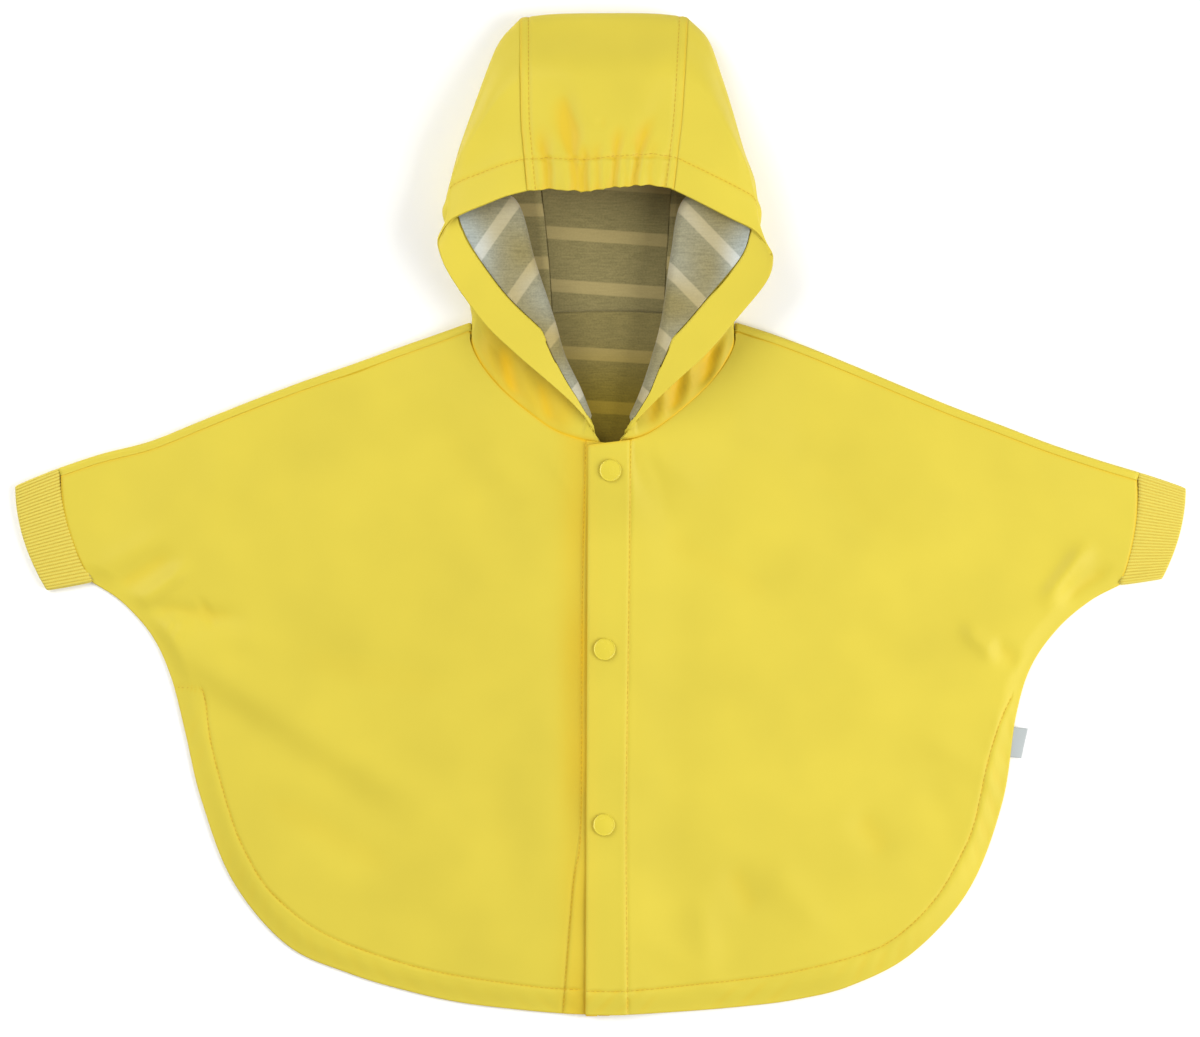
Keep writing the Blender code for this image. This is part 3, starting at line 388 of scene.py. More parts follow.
def catmull(rows, t):
    """Points of the Catmull-Rom curve through rows at the parameters t: a cubic between each two rows whose slope
    at a row is half the step between the rows beside it."""
    rows = np.asarray(rows, float)
    t = np.clip(np.asarray(t, float), 0, len(rows) - 1)
    i = np.minimum(t.astype(int), len(rows) - 2)
    f = (t - i).reshape((-1,) + (1,) * (rows.ndim - 1))
    ends = np.concatenate([2 * rows[:1] - rows[1:2], rows, 2 * rows[-1:] - rows[-2:-1]])
    a, b, c, d = (ends[i + k] for k in range(4))
    return b + 0.5 * f * (c - a + f * (2 * a - 5 * b + 4 * c - d + f * (3 * (b - c) + d - a)))


def arc_lengths(line):
    """The length along a polyline up to each of its points."""
    return np.concatenate([[0], np.cumsum(np.linalg.norm(np.diff(line, axis=0), axis=1))])


def at_lengths(line, where, run=None):
    """Points of a polyline at lengths along it, or else values at lengths along a run."""
    run = arc_lengths(line) if run is None else run
    return np.stack([np.interp(where, run, line[:, k]) for k in range(line.shape[1])], axis=1)


def at_fractions(line, fractions):
    """Points of a polyline at shares of its length."""
    return at_lengths(line, np.asarray(fractions) * arc_lengths(line)[-1])


def smooth_line(table, step=2.0):
    """The Catmull-Rom curve through a table's points, in steps of about the given length."""
    line = catmull(table, np.linspace(0, len(table) - 1, 40 * len(table)))
    return at_fractions(line, np.linspace(0, 1, int(arc_lengths(line)[-1] / step) + 2))


def line_distance(x, y, line):
    """For plan points, the distance to a polyline, and how far along it the nearest point lies. Each point is
    projected on every segment, and the nearest foot is taken."""
    flat = np.stack([np.ravel(x), np.ravel(y)], axis=1)
    start, step = line[:-1, :2], np.diff(line[:, :2], axis=0)
    size = np.maximum((step**2).sum(axis=1), 1e-12)
    run = arc_lengths(line[:, :2])
    away, along = np.empty(len(flat)), np.empty(len(flat))
    for k in range(0, len(flat), 4000):
        part = flat[k : k + 4000, None] - start
        t = np.clip((part * step).sum(axis=2) / size, 0, 1)
        gap = np.hypot(part[..., 0] - t * step[:, 0], part[..., 1] - t * step[:, 1])
        near = gap.argmin(axis=1)
        rows = np.arange(len(near))
        away[k : k + 4000] = gap[rows, near]
        along[k : k + 4000] = run[near] + t[rows, near] * np.sqrt(size[near])
    return away.reshape(np.shape(x)), along.reshape(np.shape(x))


def ripple(x, y, length, seed):
    """A soft uneven surface between -1 and 1: the mean of five plane waves of about the given length, each turned
    by the golden angle from the one before."""
    total = np.zeros(np.shape(x))
    for k in range(5):
        angle = 2.4 * k + seed
        size = 2 * math.pi / (length * (0.75 + 0.17 * k))
        total = total + np.sin(size * (x * math.cos(angle) + y * math.sin(angle)) + 1.7 * seed + 2.1 * k)
    return total / 5


def spaced(count, low, high):
    """Fractions from 0 to 1 with extra ones close to both ends, at the given numbers of fine steps."""
    ends = np.array([0, 0.06, 0.16, 0.32, 0.58]) / 5
    middle = np.linspace(low / 5, count - high / 5, count - 1)
    return np.concatenate([ends * low, middle, count - ends[::-1] * high]) / count


# ---- The body ----


def neck_height(y):
    """Height of the neck seam, in a straight slope from the front down to the shoulders."""
    return np.interp(y, NECK_SLOPE_Y, NECK_SLOPE_Z)


def neck_line(side, inset=0.0):
    """The neck seam on the front, from a shoulder to the front: a superellipse whose x is the half width times cos
    to the power p and whose y is the depth times sin to the power p, with a low sag, and inset towards the
    opening."""
    angle = np.linspace(0, math.pi / 2, 121)
    p = 2 / NECK_POWER
    x = NECK_X + side * NECK_HALF_WIDTH * np.cos(angle) ** p
    sag, middle, half_width = NECK_SAG[side]
    y = NECK_Y - NECK_DEPTH * np.sin(angle) ** p - sag * bell((x - middle) / half_width)
    plan = np.concatenate([[[x[0] - side * 0.2, NECK_Y + SEAM_DROP]], np.stack([x, y], axis=1)])
    end = HOOD_ENDS[side]
    end_y = np.interp(end * side, (plan[:, 0] * side)[::-1], plan[::-1, 1])
    plan = np.concatenate([plan[side * (plan[:, 0] - end) > 0.05], [[end, end_y]]])
    along = np.gradient(plan, axis=0)
    plan = plan + inset * unit(np.stack([-along[:, 1], along[:, 0]], axis=1) * -side)
    return np.column_stack([plan, neck_height(plan[:, 1])])


def neck_opening():
    """The neck seam right round the opening, from one shoulder to the other."""
    return np.concatenate([neck_line(LEFT), neck_line(RIGHT)[::-1]])


def neck_raise(x, y):
    """How far the neck lifts a front: half a cosine wave that falls from the seam's height to 0 at NECK_REACH."""
    gap, _ = line_distance(x, y, neck_opening()[::3])
    return (neck_height(y) - CLOTH - CHEST_Z) * (0.5 + 0.5 * np.cos(math.pi * np.clip(gap / NECK_REACH, 0, 1)))


def soft_folds(x, y, table):
    """The summed height of folds: for each row, its height times a bell across its line and soft steps at its
    ends."""
    total = np.zeros_like(x)
    for x1, y1, x2, y2, half_width, height in table:
        step = np.array([x2 - x1, y2 - y1])
        length = np.hypot(*step)
        along = ((x - x1) * step[0] + (y - y1) * step[1]) / length**2
        across = ((x - x1) * step[1] - (y - y1) * step[0]) / length
        ends = smooth((along + 0.25) / 0.5) * smooth((1.25 - along) / 0.5)
        total += height * ends * bell(across / half_width)
    return total


def wing_line(side):
    """The overarm fold and its partner edge, as tables of plan points for the stations."""
    table = np.array(WING[side])
    return table[:, :2], table[:, 2:]


def outer_edge(side):
    """The free edge of a front in plan, from the cuff down the side and along the hem."""
    return smooth_line(np.concatenate([wing_line(side)[1], HEM[side]]), 3.0)


def band_share(x, y, side):
    """1 on a front's turned-in band and 0 elsewhere, with a soft step at its stitch line."""
    table = np.array(BAND_STITCH[side])[::-1]
    return smooth((np.interp(y, table[:, 1], table[:, 0]) - x) * side / 1.6 + 0.5)


def band_lift(x, y):
    """How far the overlapping front is lifted by the band below it: a soft step along the lower band's edge,
    5 mm long at the neck and 34 mm long below it."""
    edge = np.interp(y, (HEM[LEFT][-1][1], 42.6), (HEM[LEFT][-1][0], BAND_TOP[LEFT][-1][0]))
    below = smooth((35 - y) / 55)
    slope = 5 + 29 * below
    return BAND_LIFT * smooth((edge + 1 + 5 * below + slope - x) / slope)


def hem_curve(side):
    """The curved part of the hem's stitch line."""
    return smooth_line(HEM_STITCH[side][BAR_CORNERS[side] :])


def stitch_lines(side):
    """The stitch lines of a front as smooth polylines in plan: the hem's, with its bar, and the band's."""
    bar = np.array(HEM_STITCH[side])[: BAR_CORNERS[side]]
    return [np.concatenate([bar, hem_curve(side)]), smooth_line(BAND_STITCH[side])]


def groove(away, along, depth=0.42):
    """The valley that a row of stitches pulls into cloth: a bell across the line, deeper at each stitch's ends,
    between two low swells."""
    beat = 0.8 + 0.2 * np.cos(2 * math.pi * along / STITCH_PITCH)
    return -depth * beat * bell(away / 0.9) + 0.3 * depth * bell((away - 2.6) / 1.6)


def front_height(x, y, side, folded=True, stitched=True):
    """Height of a front's outer face at plan points: its underside, which rises from the edge to the chest and
    the neck, the soft folds, one or two layers of cloth, and the stitched grooves and puckers."""
    to_edge, along_edge = line_distance(x, y, outer_edge(side))
    inside = smooth(to_edge / EDGE_REACH)
    under = EDGE_Z + inside * (CHEST_Z - EDGE_Z + neck_raise(x, y))
    if folded:
        under = under + inside * soft_folds(x, y, FOLDS[side])
    if side == RIGHT:
        under = under + band_lift(x, y)
    under = under + 0.9 * smooth(to_edge / 25) * ripple(x, y, 75.0, 0.3 + side)
    z = np.maximum(under, LOWEST_UNDER) + CLOTH * (1 + band_share(x, y, side))
    z = z + 0.07 * smooth(to_edge / 16) * ripple(x, y, 24.0, 1.9 - side)
    if not stitched:
        return z
    in_hem = smooth(to_edge / 3) * smooth((18 - to_edge) / 5) * smooth((-100.0 - y) / 25)
    pucker = np.sin(2 * math.pi * (along_edge + 1.1 * to_edge) / PUCKER_LENGTH + 2.5 * np.sin(along_edge / 37.0))
    z = z + PUCKER[side] * in_hem * pucker * smooth(0.6 + ripple(x, y, 60.0, 2.2 * side))
    for line in stitch_lines(side):
        z = z + groove(*line_distance(x, y, line))
    return z - 0.5 * rounding(to_edge, 0.9)


def seam_points(side, a):
    """Points of the overarm fold at the stations a, with the direction from it down the front."""
    fold, edge = wing_line(side)
    points = catmull(fold, a)
    ahead = catmull(fold, a + 0.02) - catmull(fold, a - 0.02)
    inward = unit(np.stack([ahead[:, 1], -ahead[:, 0]], axis=1) * -side)
    inward *= np.sign(((catmull(edge, a) - points) * inward).sum(axis=1, keepdims=True))
    level = smooth(a - SHOULDER + 1)[:, None]
    return points, unit(inward * (1 - level) + np.array([0, -1.0]) * level)


def cuff_bow(side, a, t):
    """Plan shift of the sleeve near its cuff seam: a parabola over the sleeve's width, fading along it."""
    bow = CUFFS[side][-1]
    return side * bow * 4 * t * (1 - t) * smooth(1 - a / 1.5)


# Rows beside a stitch line and at a piece's borders, as distances from them, and how many lie evenly above and
# below the hem's stitch line. It is looked for in steps of this many points, and is this far from the edge where
# the side seam's slit begins.
STITCH_ROWS = np.array([-3.0, -2.2, -1.5, -1.0, -0.6, -0.3, 0.0, 0.3, 0.6, 1.0, 1.5, 2.2, 3.0])
BORDER_ROWS = np.array([0.0, 0.2, 0.5, 0.9, 1.5, 2.5, 4.0])
ROWS_ABOVE, ROWS_BELOW = 76, 8
SEARCH_POINTS, FIRST_BELOW = 60, 13.0
LEAST_ROW = 0.04  # the least distance between two rows


def row_lengths(upper, lower, side):
    """For each station of a front, the places of its rows as shares of its length from its upper end: close
    together at both ends and beside the hem's stitch line, and evenly spread between these."""
    length = np.linalg.norm(lower - upper, axis=1)
    line = hem_curve(side)
    low, high = np.zeros(len(upper)), np.ones(len(upper))
    for _ in range(3):
        t = low[:, None] + (high - low)[:, None] * np.linspace(0, 1, SEARCH_POINTS)
        points = upper[:, None] + (lower - upper)[:, None] * t[..., None]
        away = line_distance(points[..., 0], points[..., 1], line)[0]
        nearest = t[np.arange(len(t)), away.argmin(axis=1)]
        step = (high - low) / (SEARCH_POINTS - 1)
        low, high = nearest - step, nearest + step
    crosses = np.flatnonzero(away.min(axis=1) < 0.4)
    known = np.append(FIRST_BELOW, ((1 - nearest) * length)[crosses])
    below = np.interp(np.arange(len(length)), np.append(0, crosses), known)[:, None]
    length = length[:, None]
    at = length - below
    reach = BORDER_ROWS[-1] + STITCH_ROWS[-1]
    rows = [
        BORDER_ROWS + 0 * at,
        BORDER_ROWS[-1] + (at - reach) * np.linspace(0, 1, ROWS_ABOVE)[1:-1],
        at + STITCH_ROWS,
        at + STITCH_ROWS[-1] + (below - reach) * np.linspace(0, 1, ROWS_BELOW)[1:-1],
        length - BORDER_ROWS[::-1],
    ]
    rows = np.sort(np.concatenate(rows, axis=1), axis=1)
    return np.minimum(rows, length - LEAST_ROW * np.arange(rows.shape[1])[::-1]) / length


def wing_stations(count):
    """Evenly spaced stations from the cuff to the shoulder."""
    return CUFF_STATION + (SHOULDER - CUFF_STATION) * np.linspace(0, 1, count)


def front_plan(side):
    """A front in plan: at each station, a straight line from the overarm or neck seam to the underarm or hem, and
    at a band's stitch line one that follows it. Also the stations, and each point's distance from the seam."""
    top = np.array(BAND_TOP[side]) - [0, HALF_GAP]
    edge = wing_line(side)[1]
    chest = np.concatenate([
        np.linspace(SHOULDER + 0.05, BAND - 0.12, 60),
        BAND + STITCH_ROWS / np.where(STITCH_ROWS < 0, BESIDE_WIDTH, BAND_WIDTH),
        np.linspace(BAND + 0.13, BAND + 0.83, 12),
        BAND_EDGE - BORDER_ROWS[::-1] / BAND_WIDTH,
    ])
    wing = wing_stations(130)
    points, inward = seam_points(side, wing)
    line = neck_line(side, -HALF_GAP)[:, :2]
    line = np.concatenate([line[side * (line[:, 0] - top[0, 0]) > 1.0], top[:1]])
    neck = at_fractions(line, np.clip((chest - SHOULDER) / (BAND - SHOULDER), 0, 1))
    neck[chest > BAND] = catmull(top, chest[chest > BAND] - BAND)
    upper = np.concatenate([points + inward * (SEAM_DROP + HALF_GAP), neck])
    a = np.concatenate([wing, chest])
    lower = catmull(np.concatenate([edge, HEM[side]]), a)
    across = row_lengths(upper, lower, side)
    plan = upper[:, None] + (lower - upper)[:, None] * across[..., None]
    plan[..., 0] += cuff_bow(side, a[:, None], across)
    stitch = np.array(BAND_STITCH[side])[::-1]
    share = (plan[..., 1] - stitch[0, 1]) / (stitch[-1, 1] - stitch[0, 1])
    bend = np.interp(plan[..., 1], stitch[:, 1], stitch[:, 0])
    bend -= stitch[0, 0] + (stitch[-1, 0] - stitch[0, 0]) * share
    plan[..., 0] += bend * np.clip(1 - np.abs(a - BAND), 0, 1)[:, None]
    return plan, a, across * np.linalg.norm(lower - upper, axis=1)[:, None]


def front_grid(side):
    """A front's outer face: its plan with the height of front_height, rounded at its seams, and turned under at
    the band's edge. Also its painted shade at each point, from 0 to 1: a deeper yellow painted in its grooves, deep
    folds and seams, on its turned-under rows, and in the shade beside the overlap."""
    plan, a, from_seam = front_plan(side)
    x, y = plan[..., 0], plan[..., 1]
    from_cuff, from_edge = run_from(plan, 0), run_from(plan, 0, True)
    z = front_height(x, y, side) - 0.2 * rounding(from_seam, 0.7) * (a[:, None] < BAND)
    z = z - 0.25 * rounding(from_cuff, 1.0)
    folded = front_height(x, y, side, stitched=False)
    plain = front_height(x, y, side, folded=False, stitched=False)
    # Painted shade: stitch grooves, deep fold troughs, the seam and the cuff get a deeper yellow
    painted_shade = 0.9 * np.clip(folded - z, 0, 1) + 0.12 * np.clip(plain - folded - 0.9, 0, 1.2)
    painted_shade += 0.55 * bell(np.minimum(from_seam, from_cuff) / 1.1)
    if side == LEFT:
        # Painted shade beside the overlapping band, on the lower front
        shade = 0.6 + 0.4 * ripple(0 * x, y, 90.0, 1.2)
        painted_shade += shade * (0.65 * bell((x + 15) / 9.0) + 0.5 * bell((x + 9) / 3.0))
    grid = np.dstack([x, y, z - 0.55 * rounding(from_edge, 1.5)])
    turns = ((-0.25, -0.35), (-0.25, -0.7), (0.2, -1.05), (7.0, -1.1))
    turned = [grid[-1] + [side * out, 0, down] for out, down in turns]
    painted_shade = np.concatenate([painted_shade, np.ones((len(turned), painted_shade.shape[1]))])
    return np.concatenate([grid, turned]), np.clip(painted_shade, 0, 1)


def back_neck(x):
    """y of the back's neck seam: a parabola, highest in its middle."""
    return BACK_NECK_Y - BACK_NECK_DIP * ((x - NECK_X) / NECK_HALF_WIDTH) ** 2


def back_half(side, floor):
    """One half of the back: at each station, points on the table from the underarm or hem inwards, then round the
    overarm fold, a half circle in section, to the seam on the front."""
    a = wing_stations(120)
    points, inward = seam_points(side, a)
    x, y = (points + inward * SEAM_DROP).T
    top_z = CHEST_Z + neck_raise(x, y) + soft_folds(x, y, FOLDS[side][:MAIN_FOLDS]) + CLOTH
    r = top_z / 2
    start = points + inward * r[:, None]
    low = catmull(wing_line(side)[1], a)
    rows = [np.column_stack([start + (low - start) * t, 0 * r]) for t in floor]
    for angle in np.radians(np.arange(15, 181, 15)):
        c, s = math.cos(angle), math.sin(angle)
        rows.append(np.column_stack([points + inward * (r * (1 - s))[:, None], r * (1 - c)]))
    for t in (0.35, 0.6, 0.78, 0.9, 0.97, 1.0):
        plan = points + inward * (r + (SEAM_DROP - HALF_GAP - r) * t)[:, None]
        stitch = bell((t - 0.6) / 0.16) * 0.22
        rows.append(np.column_stack([plan, top_z - stitch - 0.3 * (t > 0.98) - 0.1 * (t > 0.95)]))
    rows.append(np.column_stack([points + inward * (SEAM_DROP + ALLOWANCE), top_z - 0.9]))
    grid = np.stack(rows, axis=1)
    grid[..., 2] *= 1 - 0.1 * rounding(run_from(grid, 0), 1.3)
    t = np.concatenate([floor, np.zeros(grid.shape[1] - len(floor))])
    grid[..., 0] += cuff_bow(side, a[:, None], t)
    return np.concatenate([grid, grid[-1:] - [side * ALLOWANCE, 0, 0]])


def back_grid():
    """The back's outer face: its two halves with its middle between them, on the table, where soft creases lift it
    a little. Also the cells that are cloth, as the middle ends at the back neck."""
    floor = 1 - spaced(34, 2, 2)
    left, right = back_half(LEFT, floor), back_half(RIGHT, floor)
    neck_x = np.linspace(-75.0, 78.0, 50)
    top = np.column_stack([neck_x, back_neck(neck_x)])
    hem = [WING[LEFT][-1][2:], *HEM[LEFT][:3], HEM_MIDDLE, *HEM[RIGHT][2::-1], WING[RIGHT][-1][2:]]
    low = catmull(hem, np.linspace(0.1, len(hem) - 1.1, len(neck_x)))
    middle = np.zeros((len(neck_x), left.shape[1], 3))
    middle[:, : len(floor), :2] = top[:, None] + (low - top)[:, None] * floor[:, None]
    middle[:, len(floor) :] = middle[:, len(floor) - 1 : len(floor)]
    grid = np.concatenate([left, middle, right[::-1]])
    cells = np.ones((grid.shape[0] - 1, grid.shape[1] - 1), bool)
    cells[len(left) - 1 : len(left) + len(middle), len(floor) - 1 :] = False
    x, y = grid[..., 0], grid[..., 1]
    to_edge, _ = line_distance(x, y, np.concatenate([outer_edge(LEFT), outer_edge(RIGHT)[::-1]]))
    inside = smooth((to_edge - 4) / 26) * (grid[..., 2] == 0) * smooth((96.0 - y) / 40)
    creases = soft_folds(x, y, FOLDS[LEFT][:MAIN_FOLDS] + FOLDS[RIGHT][: MAIN_FOLDS + 2])
    grid[..., 2] += inside * (0.5 * np.abs(creases) + 0.5 * smooth(ripple(x, y, 90.0, 4.0)))
    return grid, cells


# ---- The hood ----


def hermite(a, a_way, b, b_way, count):
    """Points on the cubic from a to b that leaves along a_way and arrives along b_way, both as long as the chord,
    without its end."""
    t = np.arange(count)[:, None] / count
    length = np.linalg.norm(b - a)
    a_way, b_way = unit(a_way) * length, unit(b_way) * length
    h = 2 * t**3 - 3 * t**2
    return (h + 1) * a + (t**3 - 2 * t**2 + t) * a_way - h * b + (t**3 - t**2) * b_way


def hood_section(side, seam, turn, roll, rim, fold, neck):
    """One section of the hood's side on its outer face, from the seam to the rim: a straight line on the table,
    a cubic round the turn and back over to the roll, a cubic through the roll, and a straight line to the rim."""
    up = np.array([0, 0, 1.0])
    plan = np.array([1, 1, 0.0])
    out = unit((turn - seam) * plan)
    back = unit((roll - turn) * plan)
    on = unit(rim - roll)
    radius = turn[2]
    short = min(radius, 0.8 * np.linalg.norm((turn - seam) * plan))
    floor = turn - short * out - radius * up
    top = turn + radius * (0.9 * back + up)
    tilt = unit(back * math.cos(fold * math.pi / 2) + up * math.sin(fold * math.pi / 2))
    crown = (1 - fold) ** 4
    arc = ROLL_ARC + 10.0 * crown
    share = (0.5 + 0.137 * fold) * min(arc, 0.4 * np.linalg.norm(rim - roll))
    before, after = roll - share * (tilt + back), roll + share * (tilt + on)
    leave = unit(back + 0.6 * crown * up + neck * 1.2 * np.array([0.0, -1.0, 0]))
    arrive = unit(back + neck * 0.6 * np.array([-side, 0, 0]))
    length = np.linalg.norm(rim - after)
    facing = rim + (after - rim) * min(FACING_WIDTH / length, 0.48 + 0.32 * fold)
    stretches = [
        np.linspace(seam, floor, FLOOR_CELLS + 1)[:-1],
        hermite(floor, out, turn, up, TURN_CELLS),
        hermite(turn, up, top, leave, TURN_CELLS),
        hermite(top, leave, before, arrive, MIDDLE_CELLS),
        hermite(before, arrive, roll, tilt, ROLL_CELLS),
        hermite(roll, tilt, after, on, ROLL_CELLS),
        np.linspace(after, facing, TOP_CELLS + 1)[:-1],
        facing + (rim - facing) * (FACING_STEPS / FACING_WIDTH)[:, None],
    ]
    return np.concatenate(stretches)


def neck_section(side):
    """The hood's neck edge as a section: along the back neck, round the shoulder and down the front."""
    x = np.linspace(HOOD[side][-1][0][0], NECK_X + side * (NECK_HALF_WIDTH - 7.0), FLOOR_CELLS + 1)
    floor = np.column_stack([x, back_neck(x) + GAP, 0 * x])
    front = neck_line(side, HALF_GAP)[3:]
    front[:, 0] -= side * 0.7 * smooth((front[:, 1] - 78) / 20)
    turn = np.array([front[0, 0] + side * 0.1, 112.6, 3.9])
    up, out, down = np.array([0, 0, 1.0]), np.array([side, 0, 0.0]), np.array([0, -1.0, 0])
    rest = 2 * ROLL_CELLS + TOP_CELLS + FACING_CELLS
    where = [np.linspace(0, 0.86, MIDDLE_CELLS + 1), np.linspace(0.86, 1, rest + 1)[1:]]
    return np.concatenate([
        floor[:-1],
        hermite(floor[-1], out, turn, up + 0.5 * down, TURN_CELLS),
        hermite(turn, up, front[0], down, TURN_CELLS),
        at_fractions(front, np.concatenate(where)),
    ])


def grid_quads(rows, cols, flip):
    """The quads of a grid of points, turned over if flip is set."""
    index = np.arange(rows * cols).reshape(rows, cols)
    quads = np.stack([index[:-1, :-1], index[1:, :-1], index[1:, 1:], index[:-1, 1:]], axis=-1)
    return quads[..., ::-1] if flip else quads


def grid_normals(grid, flip):
    """Unit normals of a grid, towards its outer face: at each point the cross product of the steps along its
    column and along its row."""
    down, along = np.gradient(grid, axis=0), np.gradient(grid, axis=1)
    return unit(np.cross(along, down) if flip else np.cross(down, along))


def run_from(grid, axis, from_end=False):
    """For each point of a grid, the length of cloth between it and the grid's first or last line."""
    steps = np.linalg.norm(np.diff(grid, axis=axis), axis=2)
    if from_end:
        steps = np.flip(steps, axis=axis)
    run = np.cumsum(steps, axis=axis)
    zero = np.zeros_like(run[:1] if axis == 0 else run[:, :1])
    run = np.concatenate([zero, run], axis=axis)
    return np.flip(run, axis=axis) if from_end else run


def hood_side_base(side):
    """The hood's side before its stitches: sections from crown to neck, blended into the neck seam, with the soft
    folds of the shell below the turned-out edge. Also how much painted shade it gets there, most in the folds'
    troughs."""
    count = len(HOOD[side]) - 1
    v = np.linspace(0, count, count * SECTION_LINES + 1)
    seam, turn, roll, rim, fold, neck = (catmull(column, v) for column in zip(*HOOD[side]))
    fold, neck = np.clip(fold, 0, 1), np.clip(neck, 0, 1)
    lines = [hood_section(side, *row) for row in zip(seam, turn, roll, rim, fold, neck)]
    last, end = lines[-1], neck_section(side)
    lines += [last + (end - last) * t for t in (0.2, 0.4, 0.6, 0.8, 0.92, 1.0)]
    grid = np.stack(lines)
    shell = np.zeros(grid.shape[1])
    first = FLOOR_CELLS + 2 * TURN_CELLS
    index = np.arange(MIDDLE_CELLS)
    shell[first : first + MIDDLE_CELLS] = smooth(index / 5) * smooth((MIDDLE_CELLS - index) / 4)
    low = shell * smooth((124.0 - grid[..., 1]) / 18) * smooth(run_from(grid, 0, True) / 5)
    folds = low * soft_folds(grid[..., 0], grid[..., 1], NECK_FOLDS[side])
    grid[..., 2] = np.maximum(grid[..., 2] + folds, 0)
    return grid, 0.5 * low - 0.3 * np.minimum(folds, 0)


def hood_side_grid(side):
    """The hood's side with the groove of the casing's stitches, rounded at its seams, and a little uneven. Also
    how much painted shade it gets at each point, from 0 to 1."""
    grid, hollow = hood_side_base(side)
    x, y, z = grid[..., 0], grid[..., 1], grid[..., 2]
    rim, seam = run_from(grid, 1, True), run_from(grid, 1)
    neck, along = run_from(grid, 0, True), run_from(grid, 0)
    section = np.arange(len(grid))[:, None] / SECTION_LINES
    lift = groove(np.abs(rim - CASING_WIDTH), along) * smooth((CASING_SECTION - section) / 2)
    lift -= 0.14 * rounding(seam, 0.7)
    lift -= 0.22 * rounding(neck, 0.8)
    # Painted shade in the casing's groove, the neck folds, along the seam and at the neck
    painted_shade = np.clip(-lift / 0.8, 0, 1) + hollow + 0.6 * bell(seam) + 0.8 * bell(neck / 1.2)
    lift += 0.25 * smooth(rim / 20) * ripple(x + z, y - z, 55.0, 5.0 + side) * smooth(z / 10)
    grid = grid + grid_normals(grid, side == RIGHT) * lift[..., None]
    grid[..., 2] = np.maximum(grid[..., 2], 0)
    return grid, np.clip(painted_shade, 0, 1)


def hood_centre_base(left, right):
    """The hood's centre panel between its sides: straight lines across from the left side's border to the
    right's, arched a little at the crown. Also the share of the way across of each column."""
    borders = []
    for grid, side in ((left, LEFT), (right, RIGHT)):
        floor = at_fractions(grid[::-1, 0], np.linspace(0, 1, HOOD_FLOOR_LINES))
        borders.append(np.concatenate([floor, grid[0, 1:]]) - [side * GAP, 0, 0])
    border = CENTRE_BORDER / HOOD_CENTRE_WIDTH
    middle = np.linspace(border[-1], 1 - border[-1], CENTRE_LINES + 2)[1:-1]
    across = np.concatenate([border, middle, 1 - border[::-1]])
    a, b = borders
    grid = a[:, None] + (b - a)[:, None] * across[:, None]
    length = arc_lengths(b)
    near = np.clip(1 - length / 16.0, 0, 1)
    grid[..., 1] += near[:, None] * (back_neck(grid[0, :, 0]) + GAP - grid[0, :, 1])
    top = smooth((length - 175.0) / 60.0)
    grid[..., 2] += 4.0 * top[:, None] * 4 * across * (1 - across)
    crown = bell((length - 185.0) / 22.0)
    grid[..., 1] += 3.2 * crown[:, None] * (1 - (2 * across - 1) ** 4)
    return grid, across


def hood_centre_grid(left, right):
    """The centre panel with its gathers: valleys of the elastic that are deep in the casing and run on above it,
    a rim that bulges between them, and the stitched lines beside the seams and along the casing. Also how much painted
    shade it gets at each point."""
    grid, across = hood_centre_base(left, right)
    normals = grid_normals(grid, False)
    x, y, z = grid[..., 0], grid[..., 1], grid[..., 2]
    rim, along = run_from(grid, 0, True), run_from(grid, 1)
    other = along[:, -1:] - along
    edge = np.minimum(along, other)
    inner = smooth(np.minimum(across, 1 - across) / 0.08)
    above = np.clip(rim - CASING_WIDTH, 0, None)
    lift = np.zeros(rim.shape)
    for centre, depth, half_width, run_on, lean in GATHERS:
        middle = centre + lean * (above / 30.0) + 0.006 * np.sin(rim / 5.0 + 40 * centre)
        reach = np.where(above > 0, 0.8 * bell(above / run_on), 1.0)
        spread = 1 + 1.3 * smooth(above / 25)
        lift -= 1.2 * depth * reach * bell((across - middle) / (1.6 * half_width * spread))
    casing = smooth((CASING_WIDTH + 1 - rim) / 3) * smooth(rim / 6)
    lift += 0.8 * casing * (0.6 + 0.4 * ripple(across * 160, rim, 24.0, 0.4))
    lift += 0.12 * bell((rim - CASING_WIDTH) / 3.0) * ripple(across * 160, rim * 0.2, 5.0, 2.4)
    lift *= 0.25 + 0.75 * inner
    lift += (z > 12) * soft_folds(x, y, CROWN_FOLDS)
    for away in (along, other):
        lift += groove(np.abs(away - TOPSTITCH), rim, 0.36)
    lift += groove(np.abs(rim - CASING_WIDTH), along, 0.6)
    lift += 0.35 * smooth((TOPSTITCH - edge) / 1.5)
    lift -= 0.3 * rounding(edge, 0.7)
    # Painted shade in the gathers' troughs and along the seams
    painted_shade = np.clip(-(lift + 0.15) / 2.1, 0, 0.6) + 0.6 * bell(edge)
    grid = grid + normals * lift[..., None]
    bulge = sum(depth * bell((across - centre) / (1.3 * half_width)) for centre, depth, half_width, _, _ in GATHERS)
    rise = np.interp(across, *np.array(RIM_WAVE).T)
    grid[..., 1] += bell(rim / 8.0) * inner * (0.55 * bulge - 0.5) + bell(rim / 16.0) * rise
    grid[..., 2] = np.maximum(grid[..., 2], 0)
    return grid, painted_shade


def layer_below(grid, flip, depth):
    """A grid moved inwards along its normals."""
    return grid - depth * grid_normals(grid, flip)


def facing_grid(left, centre, right):
    """The turned-in facing all round the hood's edge, one layer below the shell."""
    at = left.shape[1] - 1 - FACING_CELLS
    count = int((run_from(centre, 0, True).mean(axis=1) < FACING_WIDTH).sum())
    middle = layer_below(centre, False, UNDER_CLOTH)[-count:, 1:-1].transpose(1, 0, 2)
    return np.concatenate([
        layer_below(left, False, UNDER_CLOTH)[::-1, at:],
        [at_fractions(line, np.linspace(0, 1, FACING_CELLS + 1)) for line in middle],
        layer_below(right, True, UNDER_CLOTH)[:, at:],
    ])


